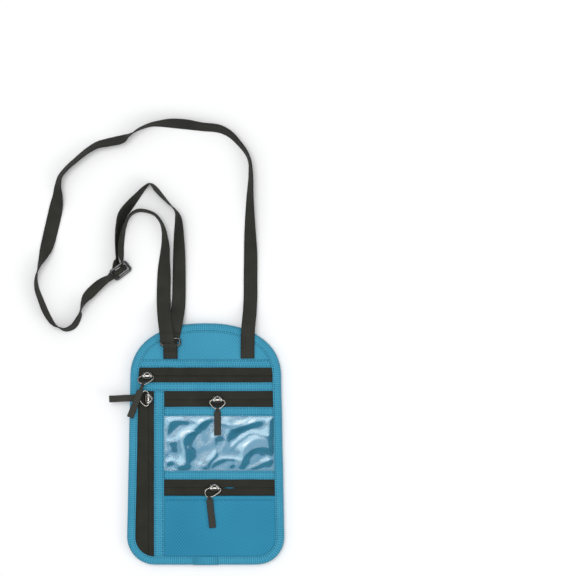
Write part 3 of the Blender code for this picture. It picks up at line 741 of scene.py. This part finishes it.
def lying_strap(name, route):
    """Webbing that lies along a route."""
    placed = []
    for x, y, *rise, lean in route:
        above = rise[0] if rise else USUAL_RISE
        placed.append((x, y, above + leaning_half(math.radians(lean)), lean))
    path = spline_through(placed, 1.6)
    centres = []
    acrosses = []
    for index, (x, y, z, lean) in enumerate(path):
        turn = math.radians(lean)
        side = heading(path, index).cross(Vector((0.0, 0.0, 1.0))).normalized()
        centres.append(Vector((x, y, max(z, leaning_half(turn) + 0.05))))
        acrosses.append(Vector((0.0, 0.0, math.cos(turn))) + side * math.sin(turn))
    return strip(name, centres, acrosses, WEBBING), centres


def declare_cord(made, centres, far_end, with_pieces):
    path_lengths(centres)[-1] * MM
    [tuple(point * MM) for point in centres]
    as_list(with_pieces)


def folded_strip(name, line, x_centre, width, place=None):
    """A strip whose centreline is drawn in the Y-Z plane, straight across X."""
    centres = [Vector((x_centre, y, z)) for y, z in line]
    made = strip(name, centres, [Vector((1.0, 0.0, 0.0))] * len(centres), WEBBING, width)
    if place:
        made.data.transform(place)
    return made


def arc(centre, radius, start, end, steps):
    """Points of an arc in degrees."""
    turns = [math.radians(start + (end - start) * step / steps) for step in range(steps + 1)]
    centre = Vector(centre)
    return [centre + Vector((math.cos(turn), math.sin(turn))) * radius for turn in turns]


def rounded_loop(low, high, radius, steps, z):
    """A rounded rectangle of points. low and high are the centres of its opposite corners' arcs."""
    loop = []
    corners = ((high[0], high[1]), (low[0], high[1]), (low[0], low[1]), (high[0], low[1]))
    for corner, start in zip(corners, (0, 90, 180, 270)):
        loop += [Vector((*point, z)) for point in arc(corner, radius, start, start + 90, steps)]
    return loop


def tube(name, points, radius, paint, cyclic=False, place=None, smooth=6):
    """A round wire along points."""
    curve = bpy.data.curves.new(name, "CURVE")
    curve.dimensions = "3D"
    curve.bevel_depth = radius * MM
    curve.bevel_resolution = smooth
    curve.use_fill_caps = not cyclic
    spline = curve.splines.new("POLY")
    spline.points.add(len(points) - 1)
    spline.use_cyclic_u = cyclic
    for point, target in zip(spline.points, points):
        point.co = (*(Vector(target) * MM), 1.0)
    spline.use_smooth = True
    curve.materials.append(paint)
    if place:
        curve.transform(place)
    return add_object(name, curve)


def soft_profile(points, spacing):
    """A smooth line through points of a plane."""
    return [point.to_2d() for point in spline_through([(*point, 0.0) for point in points], spacing)]


def strap_fittings():
    """The sewn left tab, the flat ring in it and the fold of the strap round that ring."""
    ring_box = spans("strap_ring")
    middle_x = sum(ring_box[0]) / 2
    ring_z = sum(ring_box[2]) / 2
    near, far = ring_box[1][0] + 1.0, ring_box[1][1] - 1.0
    low_end = spans("strap_tab")[1][0] + 0.2
    line = [(low_end, 9.35), (83.0, 9.35), (87.4, 10.0), *arc((near, ring_z), 1.7, -78, 98, 12)]
    line += [(86.2, 12.6), (83.0, 10.75), (low_end + 0.4, 10.5)]
    tab = folded_strip("strap_tab_webbing", soft_profile(line, 0.7), middle_x, 13.0)
    bind(tab, "black_webbing", "pouch", "strap_tab")
    corner = 1.8
    half = (ring_box[0][1] - ring_box[0][0]) / 2 - 1.0 - corner
    low, high = (middle_x - half, near + corner), (middle_x + half, far - corner)
    loop = rounded_loop(low, high, corner, 6, ring_z)
    ring = tube("strap_ring_wire", loop, 1.15, RING_PLASTIC, cyclic=True)
    bind(ring, "black_plastic", "pouch", "strap_ring")
    turn = [(x, y, ring_z + above) for x, y, above in RING_TURN]
    centres = spline_through(turn, 0.6)
    acrosses = [Vector((1.0, 0.0, 0.0))] * len(centres)
    fold = strip("strap_ring_turn", centres, acrosses, WEBBING, 12.9, 1.0)
    bind(fold, "black_webbing", "pouch", "strap_ring_fold")
    return fold


def adjuster():
    """Glossy three-bar adjuster, with the strap's end sewn round its middle bar."""
    centre = Vector([sum(side) / 2 for side in spans("strap_adjuster")])
    place = (
        Matrix.Translation(centre * MM)
        @ Matrix.Rotation(math.radians(37), 4, "Z")
        @ Matrix.Rotation(math.radians(35), 4, "X")
    )
    loop = rounded_loop((-6.2, -3.6), (6.2, 3.6), 2.0, 7, 0.0)
    rail = tube("adjuster_rails", loop, 1.3, PLASTIC, cyclic=True, place=place)
    bind(rail, "black_plastic", "pouch", "strap_adjuster")
    line = [(x, 0.0, 0.0) for x in (-7.6, -4.0, 0.0, 4.0, 7.6)]
    bar = tube("adjuster_bar", line, 0.95, PLASTIC, place=place)
    bind(bar, "black_plastic", "pouch")
    line = arc((0.0, 0.0), 1.95, -176, 176, 28)
    wrap = folded_strip("adjuster_webbing", line, 0.0, WEBBING_WIDTH, place)
    bind(wrap, "black_webbing", "pouch", "adjuster_wrap")
    return [rail, bar, wrap]


def box_stitches(name, x_low, x_high, y_low, y_high, z):
    """A sewn box with a line across its corners, as strap ends have."""
    corners = [(x_low, y_low), (x_high, y_low), (x_high, y_high), (x_low, y_high), (x_low, y_low)]
    for label, places in (("", corners), ("_cross", corners[0:3:2])):
        path = [(x, y, z) for x, y in places]
        stitches(name + label, path, BLACK_THREAD, pitch=2.2, length=1.7, radius=0.22)


def strap():
    """The neck strap and its adjustable loop, with their fittings and sewn ends."""
    straps = []
    for name, node, route in (
        ("neck_webbing", "neck_strap", NECK_STRAP),
        ("loop_webbing_outer", "strap_loop_outer", LOOP_OUTER),
        ("loop_webbing_inner", "strap_loop_inner", LOOP_INNER),
    ):
        made, centres = lying_strap(name, route)
        bind(made, "black_webbing", "pouch", node)
        straps.append((made, centres))
    turn = strap_fittings()
    ends = (("fitting", adjuster()), ("object", ()), ("object", [turn]))
    for (made, centres), (far_end, pieces) in zip(straps, ends):
        declare_cord(made, centres, far_end, pieces)
    box_stitches("right_end_stitches", 33.2, 42.6, 78.6, 84.6, 10.05)
    box_stitches("left_end_stitches", -36.4, -26.8, 78.4, 82.2, 11.1)


# ---------------------------------------------------------------- edge binding

def binding_rows(first, last, swell):
    """The folded edge tape's section at outline points first to last, and its lengths both ways."""
    top = TOP_Z
    outer = soft_profile(
        [
            (LIP, top - 0.12), (LIP - 1.6, top + 0.02), (4.0, top + 0.1), (2.0, top - 0.35),
            (0.6, top - 1.7), (0.0, top - 3.6), (0.0, 3.6), (0.6, 1.7), (2.0, 0.45), (4.0, 0.06),
            (LIP, 0.06),
        ],
        0.9,
    )
    inner = [(LIP, 0.66), (3.0, 0.9), (1.0, 3.4), (1.0, top - 3.4), (3.0, top - 1.0), (LIP, top - 0.62)]
    section = [*outer, *(Vector(point) for point in inner)]
    loops = [outline(point.x) for point in section]
    count = len(loops[0])
    rows = []
    for place in range(first, last):
        row = []
        for number, (loop, point) in enumerate(zip(loops, section)):
            x, y = loop[place % count]
            outward = Vector((x, y)).normalized()
            push = swell if number < len(outer) else 0.0
            lift = push * (1.0 if point.y > top / 2 else -0.4)
            if point.y > 5.0:
                lift += ripple(x, y, 9.0, 9.0, 0.1)
            spread = ripple(x, y, 0.0, 26.0, 0.28) + ripple(x, y, 4.0, 7.0, 0.1)
            spread += push * smoothstep(1.0 - point.x / 3.0)
            row.append((x + outward.x * spread, y + outward.y * spread, point.y + lift))
        rows.append(row)
    path = [loops[0][place % count] for place in range(first, last + 1)]
    return rows, path_lengths(path), path_lengths(section)


def edge_binding():
    """The tape all round, the lap where its ends meet, and its stitches on both faces."""
    rows, along, across = binding_rows(0, len(outline(0.0)), 0.0)

    def marks(row, column):
        return along[min(row, len(along) - 1)], across[min(column, len(across) - 1)]

    made = skin("edge_binding_tape", rows, GROSGRAIN, marks, closed_rows=True, closed_columns=True)
    bind(made, "blue_binding", "pouch", "perimeter_binding")
    rows, along, across = binding_rows(-2, 2, 0.35)
    lap = skin("edge_binding_lap", rows[1:], GROSGRAIN, marks, closed_columns=True, capped=True)
    bind(lap, "blue_binding", "pouch")
    for name, z in (("edge_stitches_front", TOP_Z + 0.02), ("edge_stitches_back", 0.3)):
        path = [(x, y, z) for x, y in outline(LIP - 1.3)]
        stitches(name, path + path[:1], BLUE_THREAD)


# ---------------------------------------------------------------- cross bindings

TRIM_SHARES = (0.0, 0.04, 0.14, 0.32, 0.5, 0.68, 0.86, 0.96, 1.0)
BACK_BOW = 1.0  # how far the mesh pocket's slack mouth bows up in its middle


def trim_strip(name, node, ends, upright=False, back=False):
    """A flat tape over a seam. ends(position) gives its two ends at a place across its width."""
    box = spans(node)
    low, high = box[0 if upright else 1]
    z_low, z_high = box[2]
    thick = z_high - z_low
    profile = [(share, 1.0 - 0.55 * abs(2 * share - 1.0) ** 6) for share in TRIM_SHARES]
    profile += [(share, 0.0) for share in reversed(TRIM_SHARES)]
    start_low, end_low = ends(low)
    steps = max(4, round((end_low - start_low) / 2.0))
    rows = []
    for step in range(steps + 1):
        row = []
        for share, height in profile:
            across = low + (high - low) * share
            start, end = ends(across)
            along = start + (end - start) * step / steps
            across += ripple(along, low, 2.0, 16.0, 0.22)
            if back:
                across += BACK_BOW * (1.0 - (along / 62.0) ** 2)
            x, y = (across, along) if upright else (along, across)
            front_z = z_low + thick * height + ripple(x, y, 6.0, 8.0, 0.1) * height
            row.append((x, y, z_high - thick * height * 0.94 if back else front_z))
        rows.append(row)

    def marks(row, column):
        share = profile[column % len(profile)][0]
        return start_low + (end_low - start_low) * row / steps, low + (high - low) * share

    made = skin(name, rows, GROSGRAIN, marks, closed_columns=True, capped=True)
    bind(made, "blue_binding", "pouch", node)
    stitch_z = z_low + 0.1 if back else z_high + 0.02
    for number, across in enumerate((low + 1.2, high - 1.2), 1):
        start, end = ends(across)
        line = [start + (end - start) * step / 40 for step in range(41)]
        path = [(across, along, stitch_z) if upright else (along, across, stitch_z) for along in line]
        stitches(f"{name}_stitches_{number}", path, BLUE_THREAD)


def cross_bindings():
    """The flat tapes over the seams. Each helper gives a tape's two ends."""
    def whole_width(y):
        reach = half_width(y, LIP)
        return -reach, reach

    def right_of_column(y):
        return COLUMN_X[1] + 0.1, half_width(y, LIP)

    def column_height(_x):
        return LIP - HALF_HEIGHT, spans("top_zip_binding")[1][0] - 0.1

    trim_strip("seam_tape", "seam_binding", whole_width)
    trim_strip("top_zip_tape", "top_zip_binding", whole_width)
    trim_strip("window_top_tape", "window_top_binding", right_of_column)
    trim_strip("window_bottom_tape", "window_bottom_binding", right_of_column)
    trim_strip("column_tape", "column_binding", column_height, upright=True)
    trim_strip("back_pocket_tape", "back_pocket_binding", whole_width, back=True)


# ---------------------------------------------------------------- cloth panels

MESH_RIB = 2.2


def bind_sheet(made, slot, node):
    bind(made, slot, "pouch", node)


def panel_cloth(name, node, slot, paint, height, whole=False, step=2.0, thickness=0.5):
    """A panel's cloth, its upper face at height(x, y). It starts at its node's left side, or if whole,
    at the pouch's own, and it ends at the pouch's right side."""
    (x_first, _), (y_low, y_high), _ = spans(node)

    def sides(y):
        reach = half_width(y, PANEL_INSET)
        return (-reach if whole else x_first), reach

    row_count = max(2, round((y_high - y_low) / step))
    left, right = sides((y_low + y_high) / 2)
    column_count = max(2, round((right - left) / step))
    rows = []
    for row in range(row_count + 1):
        y = y_low + (y_high - y_low) * row / row_count
        left, right = sides(y)
        right = max(right, left + 0.2)
        line = [left + (right - left) * column / column_count for column in range(column_count + 1)]
        rows.append([(x, y, height(x, y)) for x in line])
    made = skin(name, rows, paint, lambda row, column: rows[row][column][:2])
    thicken(made, thickness)
    bind_sheet(made, slot, node)


def panel_height(rise, x_low, x_high, y_low, y_high):
    """Slack cloth: held down at its sides and a little proud in the middle, with soft ripples."""
    def height(x, y):
        share = smoothstep(min(x - x_low, x_high - x, y - y_low, y_high - y) / 18.0)
        return PANEL_TOP + share * (rise + ripple(x, y, 1.0, 22.0, 0.3) + ripple(x, y, 7.0, 7.0, 0.09))

    return height


def cloth_panels():
    """The arched panel, the lower pocket with its turned hem, and the back."""
    (x_low, x_high), (y_low, y_high), _ = spans("arch_panel")
    arched = panel_height(0.35, x_low + 6, x_high - 6, y_low + 4, y_high - 6)
    panel_cloth("arch_cloth", "arch_panel", "blue_fabric", ARCH_CLOTH, arched, whole=True)

    (_, x_high), (y_low, y_high), _ = spans("lower_panel")
    slack = panel_height(0.55, COLUMN_X[1], x_high - 6, y_low + 6, y_high - 1)

    def hemmed(x, y):
        past_hem = y - (y_high - 4.6)
        return slack(x, y) + 0.4 * smoothstep(past_hem / 0.6) - 0.3 * math.exp(-((past_hem / 0.7) ** 2))

    panel_cloth("lower_cloth", "lower_panel", "blue_fabric", CLOTH, hemmed, step=1.2)
    hem = [(x, y_high - 3.6, PANEL_TOP + 0.5) for x in range(round(COLUMN_X[1]) + 1, 62)]
    stitches("lower_hem_stitches", hem, BLUE_THREAD)

    def behind(x, y):
        return BACK_TOP + ripple(x, y, 3.0, 30.0, 0.25)

    panel_cloth("back_cloth", "back_panel", "blue_fabric", CLOTH, behind, whole=True, step=2.5)


def mesh_pocket():
    """Ribbed black mesh, slack enough to take things behind it."""
    def height(x, y):
        ridge = 0.5 + 0.5 * math.sin(2 * math.pi * y / MESH_RIB)
        return 0.5 - 0.16 * ridge + abs(ripple(x, y, 5.0, 24.0, 0.5))

    low, high = spans("back_mesh_pocket")[1]
    row_count = round((high - low) / MESH_RIB * 6)
    rows = []
    for row in range(row_count + 1):
        y = low + (high - low) * row / row_count
        reach = half_width(y, TRIM_INSET)
        line = [reach * (column / 26 - 1.0) for column in range(53)]
        rows.append([(x, y, height(x, y)) for x in line])
    made = skin("mesh_pocket_cloth", rows, MESH, lambda row, column: rows[row][column][:2])
    thicken(made, 0.3)
    bind_sheet(made, "black_mesh", "back_mesh_pocket")


# ---------------------------------------------------------------- window pocket

WINDOW_FOLDS = [
    # start, end, bend, width and height of each fold in the film
    ((-40.0, 12.0), (-14.0, 22.0), 5.0, 4.2, 0.55),
    ((-38.0, 3.0), (-12.0, 8.0), -3.0, 3.0, 0.35),
    ((-18.0, -24.0), (2.0, 27.0), 9.0, 5.0, 0.85),
    ((-6.0, -20.0), (8.0, -8.0), -4.0, 3.2, 0.4),
    ((14.0, 26.0), (50.0, 20.0), -7.0, 4.0, 0.7),
    ((20.0, 8.0), (46.0, 16.0), 6.0, 5.0, 0.5),
    ((30.0, -22.0), (62.0, -2.0), 10.0, 5.5, 0.8),
    ((32.0, -6.0), (60.0, 26.0), -8.0, 6.0, 0.75),
    ((-40.0, -16.0), (-20.0, -24.0), 4.0, 3.6, 0.5),
    ((6.0, 4.0), (22.0, 2.0), 3.0, 3.0, 0.3),
    ((-28.0, 27.0), (-6.0, 16.0), 4.0, 1.8, 0.3),
    ((-20.0, -6.0), (-6.0, 10.0), 6.0, 1.6, 0.32),
    ((12.0, 18.0), (44.0, 26.0), -3.0, 1.7, 0.3),
    ((24.0, -2.0), (58.0, 8.0), 5.0, 1.8, 0.3),
    ((6.0, -20.0), (30.0, -14.0), 4.0, 1.8, 0.25),
    ((38.0, -26.0), (66.0, -14.0), 3.0, 2.4, 0.45),
]


def window_height(x, y):
    """The clear film lies in loose folds, flat only where its seams hold it."""
    x_low, x_high = COLUMN_X[1], 62.0
    y_low, y_high = spans("window_bottom_binding")[1][1], spans("window_top_binding")[1][0]
    inside = min(x - x_low, x_high - x, y - y_low, y_high - y)
    share = smoothstep(inside / 5.0)
    warp_x = x + ripple(x, y, 11.0, 17.0, 4.0)
    warp_y = y + ripple(x, y, 15.0, 17.0, 4.0)
    rise = 0.0
    for (x1, y1), (x2, y2), bend, width, height in WINDOW_FOLDS:
        along = Vector((x2 - x1, y2 - y1))
        span = along.length
        along.normalize()
        offset = Vector((warp_x - x1, warp_y - y1))
        t = offset.dot(along) / span
        across = offset.x * along.y - offset.y * along.x + bend * math.sin(math.pi * t)
        fade = smoothstep((t + 0.15) / 0.3) * smoothstep((1.15 - t) / 0.3)
        rise += height * fade * math.exp(-((across / width) ** 2))
    soft = ripple(x, y, 21.0, 9.0, 0.3) + ripple(x, y, 25.0, 30.0, 0.3)
    return PANEL_TOP - 0.1 + share * max(min(rise + soft, 1.1), -0.3)


def window_pocket():
    """The clear film in folds, and the cloth that shows through it, painted lighter against the film's
    shadow.
    """
    panel_cloth(
        "window_vinyl", "window_film", "clear_film", FILM, window_height, step=0.9, thickness=0.25
    )
    top = spans("window_backing")[2][1]

    def behind(x, y):
        return top + ripple(x, y, 13.0, 20.0, 0.2)

    panel_cloth(
        "window_back_cloth", "window_backing", "blue_fabric", WINDOW_CLOTH_BRIGHTENED, behind, step=2.5,
        thickness=0.35,
    )


# ---------------------------------------------------------------- zips

TAPE_GAPS = {"top_zip": 0.2, "middle_zip": 0.04, "lower_zip": 0.02, "side_zip": 0.05}
LENS = (21.8, 5.4, 0.62)  # the lower zip gapes a little beside its slider: middle, half length, width
COIL_PITCH = 1.2


def gap_at(name, along):
    """How far half a zip's tape keeps from its middle line."""
    if name != "lower_zip":
        return TAPE_GAPS[name]
    middle, half, wide = LENS
    return TAPE_GAPS[name] + wide * max(0.0, 1.0 - ((along - middle) / half) ** 2)


def tape_half(name, label, axis_place, side, ends, upright=False):
    """Half a zip's tape. Its inner edge turns down over the coil, its outer one is under a binding."""
    node = f"{name}_tape_{label}"
    outer = spans(node)[0 if upright else 1][0 if side < 0 else 1]
    reach = abs(outer - axis_place)
    offsets = (0.0, 0.12, 0.4, 1.0, 1.7, 2.2, 2.8, 3.6, *((5.0, 6.6) if reach > 7.2 else (4.8,)), reach)
    starts, stops = zip(ends(axis_place), ends(outer))
    steps = round((max(stops) - min(starts)) / 1.5)
    bulging, folding = (0.24, -0.75) if name == "top_zip" else (0.08, -0.3)
    rows = []
    for step in range(steps + 1):
        row = []
        for offset in offsets:
            start, end = ends(axis_place + side * max(offset, 0.5))
            along = start + (end - start) * step / steps
            gap = gap_at(name, along)
            place = axis_place + side * (gap + offset * (reach - gap) / reach)
            if upright:
                place = max(place, -half_width(along, ZIP_INSET))
            z = PANEL_TOP - 0.02 + bulging * math.exp(-(((offset - 1.1) / 0.9) ** 2))
            z += folding * math.exp(-((offset / 0.2) ** 2))
            z -= 0.12 * math.exp(-(((offset - 2.5) / 0.25) ** 2))
            z += ripple(along, place, 3.0, 17.0, 0.12) * smoothstep((offset - 2.0) / 4.0)
            row.append((place, along, z) if upright else (along, place, z))
        rows.append(row)

    def marks(row, column):
        x, y, _ = rows[row][column]
        return (y, x) if upright else (x, y)

    made = skin(f"{name}_cloth_{'right' if side > 0 else 'left'}", rows, TAPE, marks)
    if made.data.polygons[0].normal.z < 0:
        made.data.flip_normals()
    thicken(made, 0.4)
    bind(made, "zip_tape", "pouch", node)


def zips():
    """Both tape halves of each zip, and the coil where it shows."""
    def whole(y):
        reach = half_width(y, ZIP_INSET)
        return -reach, reach

    def right_part(y):
        return spans("middle_zip_coil")[0][0], half_width(y, ZIP_INSET)

    def side_part(_x):
        return PANEL_INSET + 1.0 - HALF_HEIGHT, spans("side_zip_tape_left")[1][1]

    for name, middle in ZIP_Y.items():
        for label, side in (("upper", 1.0), ("lower", -1.0)):
            tape_half(name, label, middle, side, whole if name == "top_zip" else right_part)
    for label, side in (("left", -1.0), ("right", 1.0)):
        tape_half("side_zip", label, SIDE_ZIP_X, side, side_part, upright=True)
    open_coil()


def open_coil():
    """The lower zip's coil in two halves, which part where the zip gapes."""
    (x_low, x_high), _, z_span = spans("lower_zip_coil")
    for side, label in ((-1.0, "left"), (1.0, "right")):
        points = []
        for turn in range(round((x_high - x_low) / COIL_PITCH)):
            for part in range(6):
                angle = 2 * math.pi * part / 6
                x = x_low + 0.4 + (turn + part / 6) * COIL_PITCH
                y = ZIP_Y["lower_zip"] + side * (gap_at("lower_zip", x) + 0.62 + 0.55 * math.cos(angle))
                points.append((x, y, sum(z_span) / 2 + 0.35 * math.sin(angle)))
        made = tube(f"lower_zip_coil_{label}", points, 0.16, COIL, smooth=1)
        bind(made, "zip_coil", "pouch", *(["lower_zip_coil"] if side < 0 else []))


# ---------------------------------------------------------------- sliders and pulls

RING_HALF_WIDTH = 6.8
TAB_SHAPES = {  # how long the narrow neck and the whole tab are
    "top_zip": (9.0, 32.5), "middle_zip": (4.0, 24.0), "lower_zip": (4.5, 28.0), "side_zip": (4.5, 27.5),
}
TAB_WIDTH = 6.3
TAB_NECK_WIDTH = 3.2
TURNED_SIDES = 28
OVAL_SIDES = 36

# Half width, half depth and height of each ring.
SLIDER_PLATE = (
    (4.5, 3.1, -2.62), (5.0, 3.6, -2.5), (5.2, 3.8, -2.2), (5.1, 3.7, -1.95), (4.7, 3.3, -1.78),
    (3.6, 2.4, -1.7),
)
SLIDER_POST = ((3.0, 2.1, -1.8), (2.5, 1.7, -1.6), (2.0, 1.2, -1.35), (1.8, 1.1, -1.2))
SLIDER_ARM = ((0.5, 3.3, -1.0), (1.3, 2.6, -0.2), (2.4, 1.5, 0.55), (3.1, 0.3, 0.7))

# Place along the axis and radius.
SLIDER_CROWN = (
    (-4.1, 0.9), (-4.4, 1.2), (-4.4, 1.7), (-4.0, 2.15), (-3.2, 2.15), (-2.5, 1.8), (-1.9, 1.4),
    (-1.2, 1.35), (1.2, 1.35), (1.9, 1.4), (2.5, 1.8), (3.2, 2.15), (4.0, 2.15), (4.4, 1.7),
    (4.4, 1.2), (4.1, 0.9),
)
TAB_EYELET = (
    (-1.1, 0.95), (-1.25, 1.1), (-1.25, 1.5), (-1.0, 1.75), (1.0, 1.75), (1.25, 1.5), (1.25, 1.1),
    (1.1, 0.95),
)

# Shares of the tab's half width and half thickness, round its section.
TAB_SECTION = (
    (-1.0, -0.45), (-0.9, -0.9), (-0.55, -1.0), (0.0, -1.0), (0.55, -1.0), (0.9, -0.9),
    (1.0, -0.45), (1.0, 0.45), (0.9, 0.9), (0.62, 1.0), (0.5, 0.86), (0.0, 0.9), (-0.5, 0.86),
    (-0.62, 1.0), (-0.9, 0.9), (-1.0, 0.45),
)


def joined(name, shapes, paint, place):
    """One mesh of closed shapes, each a list of rings and whether its last joins its first."""
    shape = bmesh.new()
    for rows, ringed in shapes:
        grid = [[shape.verts.new(Vector(point) * MM) for point in row] for row in rows]
        join_rings(shape, grid, ringed)
    made = link_mesh(name, shape, paint)
    made.data.transform(place)
    return made


def turned_x(profile):
    """A profile of (x, radius) turned about the X axis."""
    angles = [2 * math.pi * turn / TURNED_SIDES for turn in range(TURNED_SIDES)]
    circle = [(math.cos(angle), math.sin(angle)) for angle in angles]
    return [[(x, radius * y, radius * z) for y, z in circle] for x, radius in profile]


def oval(x_half, y_half, z, power, y_middle=0.0):
    """A ring between an ellipse and a rectangle, squarer as its power is higher."""
    ring = []
    for turn in range(OVAL_SIDES):
        angle = 2 * math.pi * turn / OVAL_SIDES
        c, s = math.cos(angle), math.sin(angle)
        x = x_half * math.copysign(abs(c) ** (2 / power), c)
        ring.append((x, y_middle + y_half * math.copysign(abs(s) ** (2 / power), s), z))
    return ring


def slider_body(name, place):
    """Cast slider: plate and post painted darker as shade, hollow crown with ball ends, and two arms to
    its nose.
    """
    plate = [oval(x, y, z, 3.2) for x, y, z in SLIDER_PLATE]
    post = [oval(x, y, z, 2.6) for x, y, z in SLIDER_POST]
    dome = []
    for step in range(7):
        angle = math.pi / 2 * step / 6.3
        spread = math.cos(angle)
        dome.append(oval(2.3 * spread, 1.25 * spread, -1.8 + 1.6 * math.sin(angle), 2.6, 2.9))
    made = joined(name + "_plate", [(plate, False), (post, False)], SHADED_NICKEL, place)
    bind(made, "nickel", name, name)
    made = joined(name + "_crown", [(turned_x(SLIDER_CROWN), True), (dome, False)], NICKEL, place)
    bind(made, "nickel", name)
    for side, label in ((-1.0, "left"), (1.0, "right")):
        line = spline_through([(side * x, y, z) for x, y, z in SLIDER_ARM], 0.4)
        arm = tube(f"{name}_arm_{label}", line, 0.85, NICKEL, place=place)
        bind(arm, "nickel", name)


def ring_points(end, yaw):
    """The wire ring's outline, from the slider's crown to end, where its last side is turned by yaw."""
    end_x, end_y = end
    lean = end_x / -end_y
    sides = [(1.5, 0.0), (4.4, 0.0), (6.2, -0.9), (RING_HALF_WIDTH, -2.6), (5.9, -4.4)]
    sides.append((3.7, end_y + 1.2))
    right = [(x - lean * y, y) for x, y in sides]
    left = [(-x - lean * y, y) for x, y in reversed(sides)]
    along = Vector((math.cos(yaw), math.sin(yaw))) * 1.5
    tip = [(end_x + along.x, end_y + along.y), (end_x - along.x, end_y - along.y)]
    return [(x, y, 0.0) for x, y in right + tip + left]


def pull_tab(name, place):
    """Moulded tab: an eyelet on the ring, a narrow neck and a wide grip with fine ribs."""
    neck, length = TAB_SHAPES[name]
    wide_from = neck * (0.55 if name == "top_zip" else 0.05)
    seed = sum(ord(letter) * number for number, letter in enumerate(name, 1)) % 97 / 3.0
    steps = round(length / 0.6)
    rows = []
    for step in range(steps + 1):
        y = -0.5 - (length - 0.5) * step / steps
        share = smoothstep((-y - 0.6 - wide_from) / 2.2)
        end = smoothstep((length + y) / 0.5)
        half = (TAB_NECK_WIDTH + (TAB_WIDTH - TAB_NECK_WIDTH) * share) / 2 - 0.1
        half *= 0.93 + 0.07 * end
        thick = (0.58 + 0.14 * share) * (0.8 + 0.2 * end)
        thick += 0.05 * math.sin(2 * math.pi * y / 1.5) * share * end
        sway = ripple(0.0, y, seed, 12.0, 0.3)
        rows.append([(x * half + sway, y, z * thick - 0.95) for x, z in TAB_SECTION])

    def marks(row, column):
        return -rows[row][0][1], rows[row][column % len(TAB_SECTION)][0]

    made = skin(name + "_tab_grip", rows, RUBBER, marks, closed_columns=True, capped=True)
    made.data.transform(place)
    bind(made, "pull_rubber", name + "_tab", name + "_pull_tab")
    made = joined(name + "_tab_eyelet", [(turned_x(TAB_EYELET), True)], RUBBER, place)
    bind(made, "pull_rubber", name + "_tab")


def zip_pulls():
    """Each zip's slider, ring and tab, set out from its two CAD hinges."""
    for name, pivot in PIVOTS.items():
        turn = -math.pi / 2 if name == "side_zip" else 0.0
        hinge = HINGES[name]
        place = Matrix.Translation(Vector(pivot) * MM) @ Matrix.Rotation(turn, 4, "Z")
        offset = Matrix.Rotation(-turn, 3, "Z") @ (Vector(hinge["pos_m"]) / MM - Vector(pivot))
        end = (offset.x, -math.hypot(offset.y, offset.z))
        yaw = math.atan2(hinge["axis"][1], hinge["axis"][0]) - turn
        slider_body(name + "_slider", place)
        points = spline_through(ring_points(end, yaw), 0.5, cyclic=True)
        tilt = Matrix.Rotation(-math.atan2(offset.z, -offset.y), 4, "X")
        ring = tube(name + "_ring_wire", points, 0.62, RING_NICKEL, cyclic=True, place=place @ tilt)
        bind(ring, "nickel", name + "_ring", name + "_pull_ring")
        pull_tab(name, Matrix.Translation(Vector(hinge["pos_m"])) @ Matrix.Rotation(turn + yaw, 4, "Z"))


# ---------------------------------------------------------------- carried-over nodes

def repaint():
    """Better materials for the CAD nodes that stay: the coils under the tapes and the lining."""
    for node, made in frame["nodes"].items():
        if node.endswith("_coil") or node == "pocket_lining":
            made.data.materials.clear()
            made.data.materials.append(CLOTH if node == "pocket_lining" else COIL)


def main():
    camera_and_light()
    sky_and_floor()
    strap()
    edge_binding()
    cross_bindings()
    cloth_panels()
    mesh_pocket()
    window_pocket()
    zips()
    zip_pulls()
    repaint()
    bpy.context.view_layer.update()
    boxes = {"cad": cad_box, "visual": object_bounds()}
    boxes = {name: [list(corner) for corner in box] for name, box in boxes.items()}


main()
